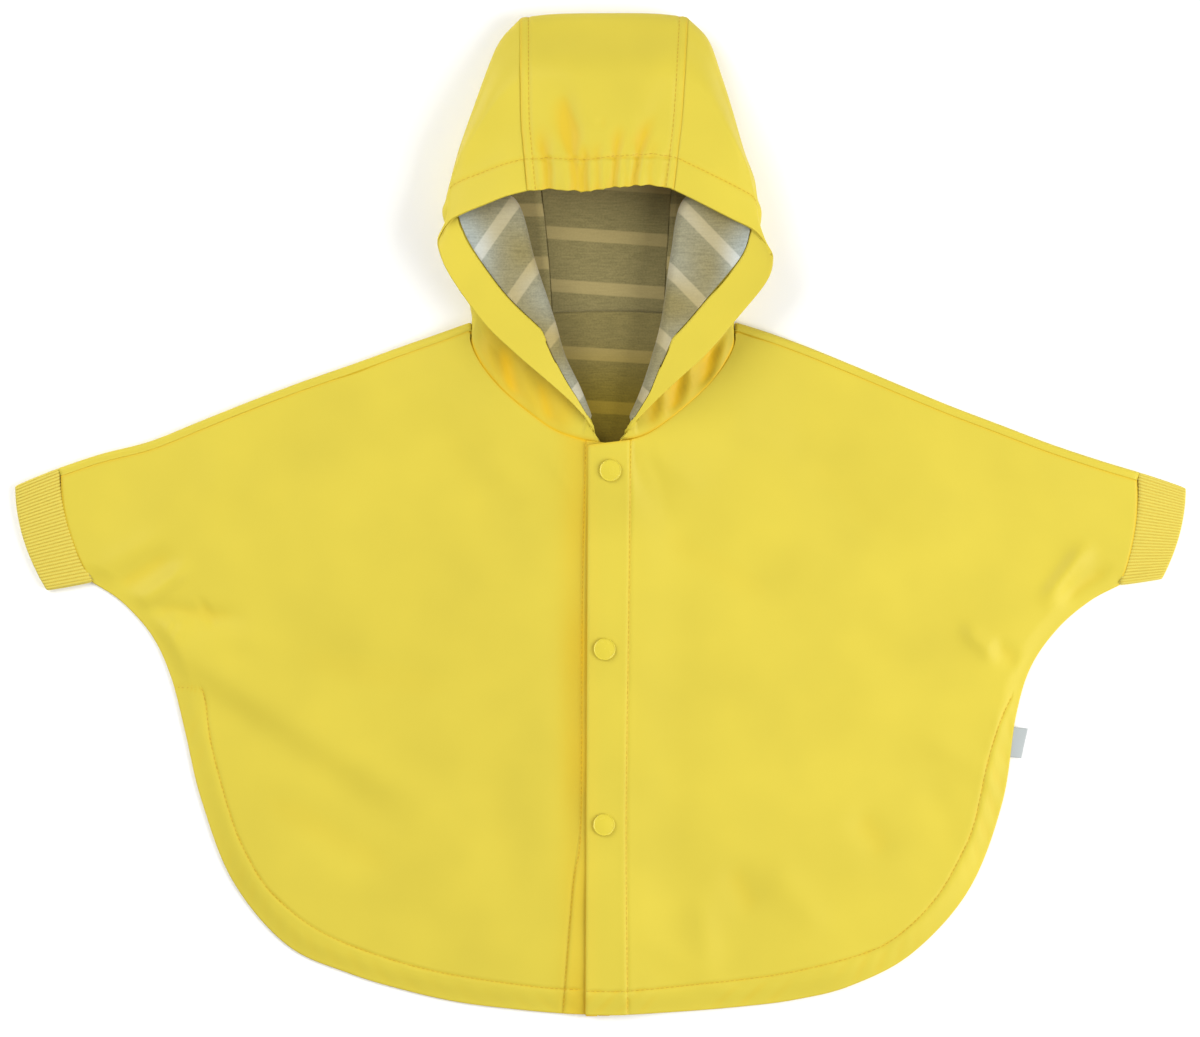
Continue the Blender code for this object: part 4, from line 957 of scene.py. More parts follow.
def turned_in(grid, flip, axis, index, share):
    """A grid with one more line at its first or last border: the cloth turned in at a seam, ALLOWANCE further on
    and 0.4 mm lower, so that the next piece's edge sinks into it. Where the share is low it hardly goes on."""
    normals = grid_normals(grid, flip)
    border, beside = np.take(grid, index, axis=axis), np.take(grid, 2 if index == 0 else -3, axis=axis)
    way = ALLOWANCE * unit(border - beside) - 0.4 * np.take(normals, index, axis=axis)
    extra = border + way * np.maximum(share, 0.03)[..., None]
    extra[:, 2] = np.maximum(extra[:, 2], 0)
    parts = [grid, np.expand_dims(extra, axis)]
    return np.concatenate(parts[::-1] if index == 0 else parts, axis=axis)


def edge_value(values, axis, index, value):
    """Values for the line that turned_in adds."""
    extra = np.full_like(np.take(values, [0], axis=axis), value)
    return np.concatenate([extra, values] if index == 0 else [values, extra], axis=axis)


def pulled_in(grid, amount, index):
    """A grid with its first or last column moved in, each point towards its neighbour."""
    grid = grid.copy()
    grid[:, index] += amount * unit(grid[:, 2 if index == 0 else -3] - grid[:, index])
    return grid


# ---- Meshes ----


def set_points(mesh, name, values):
    """Stores a value for each point of a mesh, under a name that materials read."""
    attribute = mesh.attributes.new(name, "FLOAT", "POINT")
    attribute.data.foreach_set("value", np.ascontiguousarray(values, np.float32).ravel())


def mesh_object(name, points, faces, material):
    """A piece, from its points in millimetres and its faces, on the one body."""
    mesh = bpy.data.meshes.new(name)
    mesh.from_pydata((np.asarray(points, float) * MM).tolist(), [], faces)
    mesh.polygons.foreach_set("use_smooth", np.ones(len(mesh.polygons), bool))
    mesh.materials.append(material)
    mesh.update()
    obj = bpy.data.objects.new(name, mesh)
    bpy.context.scene.collection.objects.link(obj)
    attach(obj, "root")
    return obj


def cloth_object(name, grid, flip, thickness, material, cells=None, values=None):
    """A piece of cloth: the grid as one surface, thickened inwards from its outer face. Its UV map holds the
    lengths of cloth in metres along the grid's two directions."""
    rows, cols = grid.shape[:2]
    quads = grid_quads(rows, cols, flip)
    quads = quads[np.ones((rows - 1, cols - 1), bool) if cells is None else cells].reshape(-1, 4)
    used = np.unique(quads)
    new = np.zeros(rows * cols, int)
    new[used] = np.arange(len(used))
    obj = mesh_object(name, grid.reshape(-1, 3)[used], new[quads].tolist(), material)
    uv = np.stack([run_from(grid, 0), run_from(grid, 1)], axis=-1).reshape(-1, 2) * MM
    layer = obj.data.uv_layers.new(name="cloth")
    layer.data.foreach_set("uv", uv[quads].astype(np.float32).ravel())
    for key, value in (values or {}).items():
        set_points(obj.data, key, value.reshape(-1)[used])
    wall = obj.modifiers.new("cloth", "SOLIDIFY")
    wall.thickness = thickness
    wall.offset = -1.0
    wall.use_even_offset = False
    wall.use_rim = True
    return obj


def ring_quads(index):
    """The quads between neighbouring rings of points, closed round each ring."""
    beside = np.roll(index, -1, axis=1)
    return np.stack([index[:-1], beside[:-1], beside[1:], index[1:]], axis=-1).reshape(-1, 4)


def stitches(name, runs, length, width, material):
    """Rows of stitches: along each run, a polyline with normals, a low capsule for every stitch. Its section is
    half an ellipse whose width and height go as the square root of 1 - 0.96 s squared, with s from -1 to 1."""
    s = np.array([-1.0, -0.85, -0.4, 0.4, 0.85, 1.0])
    ring = np.radians(np.array([0.0, 60.0, 120.0, 180.0, 270.0]))
    all_points, all_faces, total = [], [], 0
    rows, cols = len(s), len(ring)
    index = np.arange(rows * cols).reshape(rows, cols)
    body = ring_quads(index)
    for line, normal in runs:
        run = arc_lengths(line)
        count = max(1, int(run[-1] / (length * 1.36)))
        at = (np.arange(count) + 0.5) / count * run[-1]
        where = at[:, None] + s * length / 2
        centre = at_lengths(line, where.ravel()).reshape(count, rows, 3)
        up = unit(at_lengths(normal, at, run))[:, None]
        along = unit(centre[:, -1] - centre[:, 0])[:, None]
        side = np.cross(along, up)
        taper = np.sqrt(1 - 0.96 * s**2)[None, :, None, None]
        spread = np.cos(ring)[None, None, :, None] * side[:, :, None] * width / 2
        rise = np.sin(ring)[None, None, :, None] * up[:, :, None] * width * 0.55
        points = centre[:, :, None] + taper * (spread + rise) + 0.04 * up[:, :, None]
        all_points.append(points.reshape(-1, 3))
        offset = total + np.arange(count)[:, None, None] * rows * cols
        all_faces += (body[None] + offset).reshape(-1, 4).tolist()
        all_faces += (index[0][::-1][None] + offset[:, 0]).tolist() + (index[-1][None] + offset[:, 0]).tolist()
        total += count * rows * cols
    return mesh_object(name, np.concatenate(all_points), all_faces, material)


def plan_run(line, side):
    """A stitch run on a front: the plan line lifted to the cloth, with the cloth's normals there, worked out from
    its heights half a millimetre to each side."""
    x, y = line.T
    step = 0.5
    places = ((step, 0), (-step, 0), (0, step), (0, -step))
    east, west, north, south = (front_height(x + dx, y + dy, side, stitched=False) for dx, dy in places)
    slope = np.stack([west - east, south - north, np.full(len(x), 2 * step)], axis=1)
    return np.column_stack([x, y, front_height(x, y, side)]), unit(slope)


def grid_run(grid, flip, field, value, axis, keep=slice(None)):
    """A stitch run on a grid: on each line of the grid, the point where a field reaches a value."""
    normals = grid_normals(grid, flip)
    points, ways = [], []
    for k in range(grid.shape[1 - axis])[keep]:
        line, way, f = (np.take(values, k, axis=1 - axis) for values in (grid, normals, field))
        if f[0] > f[-1]:
            line, way, f = line[::-1], way[::-1], f[::-1]
        points.append([np.interp(value, f, line[:, j]) for j in range(3)])
        ways.append([np.interp(value, f, way[:, j]) for j in range(3)])
    return np.array(points), unit(np.array(ways))


# ---- Materials ----


def fill(tree, node, inputs):
    """Sets a node's inputs, by name or number, each to a value or to another node's output."""
    for key, value in inputs.items():
        if isinstance(value, bpy.types.NodeSocket):
            tree.links.new(value, node.inputs[key])
        else:
            node.inputs[key].default_value = value


def add_node(tree, kind, settings=None, inputs=None):
    """Adds one node, with its settings by name and its inputs as fill takes them."""
    node = tree.nodes.new("ShaderNode" + kind)
    for key, value in (settings or {}).items():
        setattr(node, key, value)
    fill(tree, node, inputs or {})
    return node


def new_material(name):
    """An empty material's node tree, its shader and itself."""
    material = bpy.data.materials.new(name)
    material.use_nodes = True
    tree = material.node_tree
    return material, tree, tree.nodes["Principled BSDF"]


def rgba(colour, share=1.0):
    """A colour for a socket, its brightness scaled by a share."""
    return (*(min(1.0, c * share) for c in colour[:3]), 1.0)


def coated_cloth(sizes):
    """Woven polyester coated with polyurethane and rolled smooth: an even, soft matt film that shows the threads
    below it as a very fine grain and takes broad highlights."""
    material, tree, shader = new_material("polyurethane_coated_polyester_calendered")
    place = add_node(tree, "TexCoord")
    # Clouds about 60 mm wide, as the coating varies a little in thickness
    clouds = add_node(tree, "TexNoise", inputs={"Vector": place.outputs["Object"], "Scale": 16.0, "Detail": 2.0})
    tone = add_node(
        tree, "Mix", {"data_type": "RGBA"},
        {0: clouds.outputs["Fac"], 6: rgba(sizes.cloth_colour, 0.88), 7: rgba(sizes.cloth_colour, 1.08)},
    )
    # Painted shade: where the attribute is high the colour is mixed towards a deeper yellow, as light thrown to and
    # fro in a hollow of yellow cloth comes out
    painted_shade = add_node(tree, "Attribute", {"attribute_name": "painted_shade"})
    tone = add_node(
        tree, "Mix", {"data_type": "RGBA"},
        {0: painted_shade.outputs["Fac"], 6: tone.outputs[2], 7: rgba(sizes.painted_shade_colour)},
    )
    # Threads are about 0.3 mm apart; they are drawn 0.9 mm apart, the finest that a picture of the whole shows
    grain = add_node(tree, "TexNoise", inputs={"Vector": place.outputs["Object"], "Scale": 1100.0, "Detail": 1.0})
    drag = add_node(tree, "Mapping", inputs={"Vector": place.outputs["Object"], "Scale": (260.0, 1400.0, 700.0)})
    weft = add_node(tree, "TexNoise", inputs={"Vector": drag.outputs["Vector"], "Scale": 1.0, "Detail": 1.0})
    both = add_node(tree, "Math", {"operation": "ADD"}, {0: grain.outputs["Fac"], 1: weft.outputs["Fac"]})
    bump = add_node(tree, "Bump", inputs={"Height": both.outputs[0], "Strength": 0.10, "Distance": 0.0003})
    # Painted glow: where the painted shade is deep the cloth emits a little light in its colour, standing in for light
    # spread inside the coating, so that its shade stays yellow
    spread = add_node(
        tree, "Math", {"operation": "MULTIPLY_ADD", "use_clamp": True},
        {0: painted_shade.outputs["Fac"], 1: 0.26, 2: -0.14},
    )
    fill(tree, shader, {
        "Base Color": tone.outputs[2], "Emission Strength": spread.outputs[0], "Normal": bump.outputs["Normal"],
        "Emission Color": rgba(sizes.painted_shade_colour), "Roughness": 0.48, "Specular IOR Level": 0.22,
    })
    glow = add_node(tree, "BsdfTranslucent", inputs={"Color": rgba(sizes.glow_colour)})
    mix = add_node(tree, "MixShader", inputs={0: 0.2, 1: shader.outputs[0], 2: glow.outputs[0]})
    fill(tree, tree.nodes["Material Output"], {"Surface": mix.outputs[0]})
    return material


def striped_jersey(sizes):
    """Single jersey of heather yarn with knitted-in stripes, its back brushed: dull and dry, flecked where dyed and
    undyed fibres are spun together. The stripe attribute is the length of cloth across the stripes, in mm."""
    material, tree, shader = new_material("heather_jersey_knitted_stripes")
    place = add_node(tree, "TexCoord")
    stripe = add_node(tree, "Attribute", {"attribute_name": "stripe"})
    period = sizes.stripe_period / MM
    half = 0.5 * sizes.stripe_width / MM
    # Distance from the middle of the nearest stripe, with an edge one knitted row (0.8 mm) soft
    saw = add_node(tree, "Math", {"operation": "PINGPONG"}, {0: stripe.outputs["Fac"], 1: period / 2})
    edge = add_node(tree, "MapRange", inputs={"Value": saw.outputs[0], "From Min": half + 0.4, "From Max": half - 0.4})
    flecks = add_node(tree, "TexNoise", inputs={"Vector": place.outputs["Object"], "Scale": 900.0, "Detail": 2.0})
    drag = add_node(tree, "Mapping", inputs={"Vector": place.outputs["Object"], "Scale": (110.0, 900.0, 400.0)})
    yarn = add_node(tree, "TexNoise", inputs={"Vector": drag.outputs["Vector"], "Scale": 1.0, "Detail": 2.0})
    mixed = add_node(tree, "Mix", {"data_type": "FLOAT"}, {0: 0.5, 2: flecks.outputs["Fac"], 3: yarn.outputs["Fac"]})
    spread = add_node(tree, "MapRange", inputs={"Value": mixed.outputs[0], "From Min": 0.35, "From Max": 0.65})
    ground = add_node(
        tree, "Mix", {"data_type": "RGBA"},
        {0: spread.outputs[0], 6: rgba(sizes.jersey_colour, 0.82), 7: rgba(sizes.jersey_colour, 1.16)},
    )
    pale = add_node(
        tree, "Mix", {"data_type": "RGBA"},
        {0: spread.outputs[0], 6: rgba(sizes.stripe_colour, 0.93), 7: rgba(sizes.stripe_colour, 1.04)},
    )
    colour = add_node(
        tree, "Mix", {"data_type": "RGBA"}, {0: edge.outputs[0], 6: ground.outputs[2], 7: pale.outputs[2]}
    )
    # Painted shade: deep in the hood only light from the yellow cloth reaches the jersey, so the depth attribute
    # multiplies its colour by an olive tint
    depth = add_node(tree, "Attribute", {"attribute_name": "depth"})
    tint = add_node(
        tree, "Mix", {"data_type": "RGBA", "clamp_factor": False},
        {0: depth.outputs["Fac"], 6: (1.0, 1.0, 1.0, 1.0), 7: rgba(sizes.shade_colour)},
    )
    colour = add_node(
        tree, "Mix", {"data_type": "RGBA", "blend_type": "MULTIPLY"},
        {0: 1.0, 6: colour.outputs[2], 7: tint.outputs[2]},
    )
    bump = add_node(tree, "Bump", inputs={"Height": mixed.outputs[0], "Strength": 0.35, "Distance": 0.0004})
    fill(tree, shader, {
        "Base Color": colour.outputs[2], "Normal": bump.outputs["Normal"],
        "Roughness": 0.92, "Specular IOR Level": 0.15, "Sheen Weight": 0.25, "Sheen Roughness": 0.5,
    })
    return material


def rib_knit(sizes):
    """Cotton rib knitted with elastane: soft round ribs of V-shaped loops with deep narrow valleys between them,
    a little paler than the coated cloth because it scatters more light."""
    material, tree, shader = new_material("cotton_rib_knit")
    valley = add_node(tree, "Attribute", {"attribute_name": "valley"})
    across = add_node(tree, "Attribute", {"attribute_name": "loops"})
    # The loops attribute turns once for each loop, 1.2 mm long as on the real knit
    wave = add_node(tree, "Math", {"operation": "SINE"}, {0: across.outputs["Fac"]})
    place = add_node(tree, "TexCoord")
    fuzz = add_node(tree, "TexNoise", inputs={"Vector": place.outputs["Object"], "Scale": 1500.0, "Detail": 2.0})
    height = add_node(
        tree, "Math", {"operation": "MULTIPLY_ADD"}, {0: wave.outputs[0], 1: 0.35, 2: fuzz.outputs["Fac"]}
    )
    # Painted shade: the valleys between the ribs are mixed towards a darker yellow
    colour = add_node(
        tree, "Mix", {"data_type": "RGBA"},
        {0: valley.outputs["Fac"], 6: rgba(sizes.knit_colour), 7: rgba(sizes.painted_rib_valley_colour)},
    )
    bump = add_node(tree, "Bump", inputs={"Height": height.outputs[0], "Strength": 0.25, "Distance": 0.0003})
    fill(tree, shader, {
        "Base Color": colour.outputs[2], "Normal": bump.outputs["Normal"],
        "Roughness": 0.88, "Specular IOR Level": 0.2, "Sheen Weight": 0.2, "Sheen Roughness": 0.5,
    })
    return material


def snap_plastic(sizes):
    """Acetal snap caps, injection moulded and dyed through: a waxy gloss with small sharp highlights."""
    material, tree, shader = new_material("acetal_moulded")
    place = add_node(tree, "TexCoord")
    flow = add_node(tree, "TexNoise", inputs={"Vector": place.outputs["Object"], "Scale": 300.0, "Detail": 1.0})
    rough = add_node(tree, "MapRange", inputs={"Value": flow.outputs["Fac"], "To Min": 0.2, "To Max": 0.32})
    fill(tree, shader, {"Roughness": rough.outputs[0], "Base Color": rgba(sizes.snap_colour), "IOR": 1.48})
    return material


def label_tape(sizes):
    """Polyester taffeta tape, woven and hot-cut: grey, flat, with a faint rib across it."""
    material, tree, shader = new_material("polyester_taffeta_tape")
    place = add_node(tree, "TexCoord")
    # Weft threads 0.25 mm apart, drawn 0.6 mm apart
    rib = add_node(
        tree, "TexWave", {"bands_direction": "Y"},
        {"Vector": place.outputs["Object"], "Scale": 520.0, "Distortion": 0.4},
    )
    colour = add_node(
        tree, "Mix", {"data_type": "RGBA"},
        {0: rib.outputs["Fac"], 6: rgba(sizes.label_colour, 0.94), 7: rgba(sizes.label_colour, 1.05)},
    )
    bump = add_node(tree, "Bump", inputs={"Height": rib.outputs["Fac"], "Strength": 0.3, "Distance": 0.0002})
    fill(tree, shader, {"Base Color": colour.outputs[2], "Normal": bump.outputs["Normal"], "Roughness": 0.6})
    return material


def sewing_thread(sizes):
    """Spun polyester sewing thread, twisted: a shade deeper than the cloth, dull, with a twist every 0.6 mm."""
    material, tree, shader = new_material("spun_polyester_thread")
    place = add_node(tree, "TexCoord")
    twist = add_node(tree, "TexNoise", inputs={"Vector": place.outputs["Object"], "Scale": 1600.0, "Detail": 0.0})
    colour = add_node(
        tree, "Mix", {"data_type": "RGBA"},
        {0: twist.outputs["Fac"], 6: rgba(sizes.thread_colour, 0.85), 7: rgba(sizes.thread_colour, 1.1)},
    )
    fill(tree, shader, {"Base Color": colour.outputs[2], "Roughness": 0.75})
    return material


def table_top():
    """Matt white laminate, pressed: plain, with hardly any gloss."""
    material, tree, shader = new_material("white_laminate_matt")
    fill(tree, shader, {"Base Color": rgba(linear("#FBFBFA")), "Roughness": 0.9, "Specular IOR Level": 0.1})
    return material


def cloth_material(sizes):
    """The coated cloth, made the first time that it is asked for, as many pieces are cut from it."""
    return bpy.data.materials.get("polyurethane_coated_polyester_calendered") or coated_cloth(sizes)


# ---- Settings ----


def colour_property(name, description, hex_colour):
    return bpy.props.FloatVectorProperty(
        name=name, description=description, default=linear(hex_colour), size=3, min=0, max=1, subtype="COLOR"
    )


def length_property(name, description, default):
    return bpy.props.FloatProperty(
        name=name, description=description, default=default, min=0.00005, unit="LENGTH", subtype="DISTANCE"
    )


class CapeSizes(bpy.types.PropertyGroup):
    """Sizes and colours of the cape."""

    cloth_thickness: length_property("Cloth", "Thickness of the coated cloth", 0.0009)
    jersey_thickness: length_property("Jersey", "Thickness of the jersey lining", 0.0007)
    stripe_period: length_property("Stripe spacing", "From one stripe of the lining to the next", 0.0316)
    stripe_width: length_property("Stripe width", "Width of a stripe of the lining", 0.0076)
    stitch_length: length_property("Stitch length", "Length of one stitch", 0.0022)
    thread_width: length_property("Thread width", "Thickness of the sewing thread", 0.00042)
    cloth_colour: colour_property("Coated cloth", "Colour of the coated cloth", "#E0CF49")
    # Painted shade: the deeper yellow mixed into the coated cloth in its creases, grooves and seams, also the colour
    # of its painted glow
    painted_shade_colour: colour_property("Hollows", "Colour of the coated cloth in its creases", "#E3BC22")
    glow_colour: colour_property("Cloth's glow", "Colour of the light that comes through the cloth", "#F2CE1E")
    knit_colour: colour_property("Rib knit", "Colour of the cuffs' ribs", "#D3C355")
    # Painted shade: the darker yellow mixed into the valleys between the cuffs' ribs
    painted_rib_valley_colour: colour_property("Rib valleys", "Colour between the cuffs' ribs", "#C8AC3A")
    jersey_colour: colour_property("Jersey", "Ground colour of the lining", "#A3ADAB")
    stripe_colour: colour_property("Stripe", "Colour of the lining's stripes", "#C8D0D0")
    # Painted shade: the olive tint multiplied into the jersey deep in the hood
    shade_colour: colour_property("Shade", "Tint of the jersey deep in the hood", "#D0B05F")
    snap_colour: colour_property("Snaps", "Colour of the snap caps", "#D3C13B")
    label_colour: colour_property("Label", "Colour of the side label", "#A7ADAC")
    thread_colour: colour_property("Thread", "Colour of the sewing thread", "#CFA822")


class CapeStage(bpy.types.PropertyGroup):
    """Light on the cape."""

    key_power: bpy.props.FloatProperty(
        name="Key light", description="Power of the large soft light", default=34.5, min=0, unit="POWER"
    )
    fill_power: bpy.props.FloatProperty(
        name="Fill light", description="Power of the light on the other side", default=25.0, min=0, unit="POWER"
    )
    sky: bpy.props.FloatProperty(
        name="Room light", description="Brightness of the white room", default=0.42, min=0
    )


# ---- Pieces ----


def declare(node):
    """Hides the imported solid that a sheet stands for."""
    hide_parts(node)


class CAPE_OT_back(bpy.types.Operator):
    """Builds the back, which lies on the table and wraps over the arms"""

    bl_idname = "rain_cape.back"
    bl_label = "Back"

    def execute(self, context):
        sizes = context.scene.rain_cape
        grid, cells = back_grid()
        painted_shade = np.zeros(grid.shape[:2])
        # Painted shade along the back's last lines, where it turns in at the overarm seam
        painted_shade[:, -2:] = 0.7
        obj = cloth_object(
            "back_cloth", grid, True, sizes.cloth_thickness, cloth_material(sizes), cells,
            {"painted_shade": painted_shade},
        )
        declare("back")
        return {"FINISHED"}


class CAPE_OT_fronts(bpy.types.Operator):
    """Builds the two fronts with their folds, bands and stitched hems"""

    bl_idname = "rain_cape.fronts"
    bl_label = "Fronts"

    def execute(self, context):
        sizes = context.scene.rain_cape
        for side, node in ((LEFT, "front_left"), (RIGHT, "front_right")):
            grid, painted_shade = front_grid(side)
            obj = cloth_object(
                node + "_cloth", grid, side == LEFT, sizes.cloth_thickness, cloth_material(sizes),
                values={"painted_shade": painted_shade},
            )
            declare(node)
        return {"FINISHED"}


def hood_shell():
    """The outer faces of the hood's left side, centre panel and right side, each with its painted shade."""
    centre = hood_centre_grid(hood_side_base(LEFT)[0], hood_side_base(RIGHT)[0])
    return hood_side_grid(LEFT), centre, hood_side_grid(RIGHT)


class CAPE_OT_hood(bpy.types.Operator):
    """Builds the hood's two sides, its gathered centre panel and the facing inside its edge"""

    bl_idname = "rain_cape.hood"
    bl_label = "Hood"

    def execute(self, context):
        sizes = context.scene.rain_cape
        cloth = cloth_material(sizes)
        (left, left_painted_shade), (centre, centre_painted_shade), (right, right_painted_shade) = hood_shell()
        sides = (
            (left, left_painted_shade, "hood_side_left", False),
            (right, right_painted_shade, "hood_side_right", True),
        )
        for grid, painted_shade, node, flip in sides:
            for axis, index in ((0, -1), (1, 0)):
                raised = smooth((np.take(grid, index, axis=axis)[:, 2] - 2.0) / 3.0)
                grid = turned_in(grid, flip, axis, index, raised)
                # Painted shade on the line turned in at each seam
                painted_shade = edge_value(painted_shade, axis, index, 0.8)
            obj = cloth_object(
                node + "_cloth", grid, flip, sizes.cloth_thickness, cloth, values={"painted_shade": painted_shade}
            )
            declare(node)
        obj = cloth_object(
            "hood_centre_cloth", centre, False, sizes.cloth_thickness, cloth,
            values={"painted_shade": centre_painted_shade},
        )
        sides = ["hood_side_left_cloth", "hood_side_right_cloth"]
        declare("hood_centre")
        facing = pulled_in(facing_grid(left, centre, right), 0.6, 0)
        obj = cloth_object("hood_facing_cloth", facing, True, sizes.cloth_thickness, cloth)
        declare("hood_facing")
        return {"FINISHED"}


def side_lining(base, side):
    """One side of the hood's lining, a layer below the shell, with the length of cloth across its stripes and how
    deep it lies in the shade. On the turned-out part the stripes run down and outwards; on the table they run
    across."""
    shell = layer_below(base, side == RIGHT, UNDER_CLOTH)
    under = shell[LINING_SECTION * SECTION_LINES : -3, : shell.shape[1] - FACING_CELLS]
    x, y = under[..., 0], under[..., 1]
    over = smooth((np.arange(under.shape[1]) - FLOOR_CELLS - 1.5 * TURN_CELLS) / 8)
    by_x, x0, by_y, y0 = STRIPE_SLANT[side]
    stripe = (STRIPE_Y - y) * (1 - over) + (by_x * (x - x0) + by_y * (y - y0)) * over
    outward = side * (x - 4.0)
    depth = 0.76 - 0.55 * smooth((outward - 52.0 - 0.28 * (y - 120.0)) / 26.0) + 0.25 * ripple(x, y, 42.0, 0.9)
    depth = np.clip(depth, 0.0, 0.9) * over + 0.9 * (1 - over)
    return pulled_in(under, 0.5, -1), {"stripe": stripe, "depth": depth}


def centre_lining(left, right):
    """The lining of the hood's centre panel, flat on the table, with its stripes and its shade."""
    centre, _ = hood_centre_base(left, right)
    panel = centre[: int((centre[:HOOD_FLOOR_LINES, 0, 1] < CENTRE_LINING_TOP).sum())]
    x, y = panel[..., 0], panel[..., 1]
    panel[..., 2] = UNDER_CLOTH + LINING_WAVE * (1 + ripple(x, y, 26.0, 0.7))
    stripe = (CENTRE_STRIPE_Y + CENTRE_STRIPE_SLOPE * x) - y
    return panel, {"stripe": stripe, "depth": np.full(x.shape, 0.9)}


def neck_lining():
    """The lining of the back below its neck seam, flat on the table down to a parabola inside the front neck, with
    its stripes and its shade."""
    x = np.linspace(*NECK_LINING_X, 90)
    top = back_neck(x) - HALF_GAP
    low = NECK_LINING_LOW + NECK_LINING_RISE * ((x - NECK_X) / NECK_LINING_REACH) ** 2
    t = np.linspace(0, 1, 80)
    y = top[:, None] + (low - top)[:, None] * t
    x = np.repeat(x[:, None], len(t), axis=1)
    z = UNDER_CLOTH + LINING_WAVE * (1 + ripple(x, y, 30.0, 3.1))
    stripe = (NECK_STRIPE_Y + NECK_STRIPE_SLOPE * x) - y
    return np.dstack([x, y, z]), {"stripe": stripe, "depth": 0.94 + 0.14 * smooth((112.0 - y) / 50.0)}


class CAPE_OT_lining(bpy.types.Operator):
    """Builds the striped jersey lining of the hood and of the back inside the neck"""

    bl_idname = "rain_cape.lining"
    bl_label = "Lining"

    def execute(self, context):
        sizes = context.scene.rain_cape
        jersey = striped_jersey(sizes)
        left, right = hood_side_base(LEFT)[0], hood_side_base(RIGHT)[0]
        # Columns: node, surface, flip, flat size, what it lies on, area
        pieces = (
            ("lining_hood_left", side_lining(left, LEFT), False, (0.2, 0.17), "hood_side_left_cloth", 0.0155),
            ("lining_hood_right", side_lining(right, RIGHT), True, (0.2, 0.17), "hood_side_right_cloth", 0.0155),
            ("lining_hood_centre", centre_lining(left, right), False, (0.09, 0.14), "hood_centre_cloth", 0.0102),
            ("lining_back_neck", neck_lining(), False, (0.127, 0.108), "back_cloth", 0.0104),
        )
        for node, (grid, values), flip, flat, below, area in pieces:
            obj = cloth_object(node + "_jersey", grid, flip, sizes.jersey_thickness, jersey, values=values)
            declare(node)
        return {"FINISHED"}


def oval(width, depth, count):
    """A flattened ring of points: their share of the width from its top end, and their height. It is two straight
    lines and two half circles, run at even speed."""
    radius = SLEEVE_HEIGHT / 2
    straight = width - 2 * radius
    bend = math.pi * radius
    run = np.arange(count) / count * 2 * (straight + bend)
    stops = np.array([0, straight, straight + bend, 2 * straight + bend, 2 * (straight + bend)])
    angle = np.radians(np.interp(run, stops, (90, 90, -90, -90, -270)))
    centre = np.interp(run, stops, (radius, width - radius, width - radius, radius, radius))
    reach = radius - depth
    return (centre + reach * np.cos(angle)) / width, radius + reach * np.sin(angle)


def cuff_surface(side):
    """A cuff as a closed tube: rings from the sleeve's seam to the open edge and back inside. A ring is an oval
    across the cuff's width, on its outside lowered between the ribs, and t is its place along the cuff. Also how
    far each point lies in a valley between ribs, for the painted shade there, and the turn of the loops there."""
    around = RIBS_AROUND * RIB_POINTS
    crest = np.abs(np.cos(math.pi * np.arange(around) / RIB_POINTS)) ** 0.7
    seam_top, seam_low, edge_top, edge_low, bow = (np.array(v, float) for v in CUFFS[side])
    width = np.linalg.norm(seam_top - seam_low)
    profile = [(t, 0.0) for t in (-0.07, -0.03, *np.linspace(0, 1, CUFF_RINGS))]
    profile += [(1.006, 0.35), (1.0, 1.0), (0.66, 1.0), (0.33, 1.0), (0.0, 1.0)]
    rings, valleys, loops = [], [], []
    for t, inside in profile:
        soft = 0.15 * bell(t / 0.04) + 1.2 * smooth(-t / 0.06) + 0.2 * bell((1 - t) / 0.04)
        swell = 0.25 * math.sin(math.pi * min(t, 1.0))
        depth = (1 - inside) * (RIB_DEPTH * (1 - crest) + soft - swell) + inside * (KNIT + RIB_DEPTH / 2)
        across, z = oval(width, depth, around)
        top, low = seam_top + (edge_top - seam_top) * t, seam_low + (edge_low - seam_low) * t
        plan = top + (low - top) * across[:, None]
        plan[:, 0] += side * bow * 4 * across * (1 - across)
        if side == RIGHT:
            z = z - 0.9 * bell((across - 0.9) / 0.05) * bell((t - 0.15) / 0.3) * (z > 2)
        rings.append(np.column_stack([plan, z]))
        valleys.append((1 - crest) * (1 - 0.6 * inside))
        loops.append(np.full(around, 2 * math.pi * t * CUFF_LENGTH / LOOP_LENGTH))
    index = np.arange(len(profile) * around).reshape(-1, around)
    index = np.concatenate([index, index[:1]])
    beside = np.roll(index, -1, axis=1)
    quads = np.stack([index[:-1], index[1:], beside[1:], beside[:-1]], axis=-1).reshape(-1, 4)
    return np.concatenate(rings), quads if side == LEFT else quads[:, ::-1], np.array(valleys), np.array(loops)


class CAPE_OT_cuffs(bpy.types.Operator):
    """Builds the rib-knit cuffs"""

    bl_idname = "rain_cape.cuffs"
    bl_label = "Cuffs"

    def execute(self, context):
        knit = rib_knit(context.scene.rain_cape)
        for side, node in ((LEFT, "cuff_left"), (RIGHT, "cuff_right")):
            points, faces, valleys, loops = cuff_surface(side)
            obj = mesh_object(node + "_knit", points, faces.tolist(), knit)
            set_points(obj.data, "valley", valleys)
            set_points(obj.data, "loops", loops)
            declare(node)
        return {"FINISHED"}


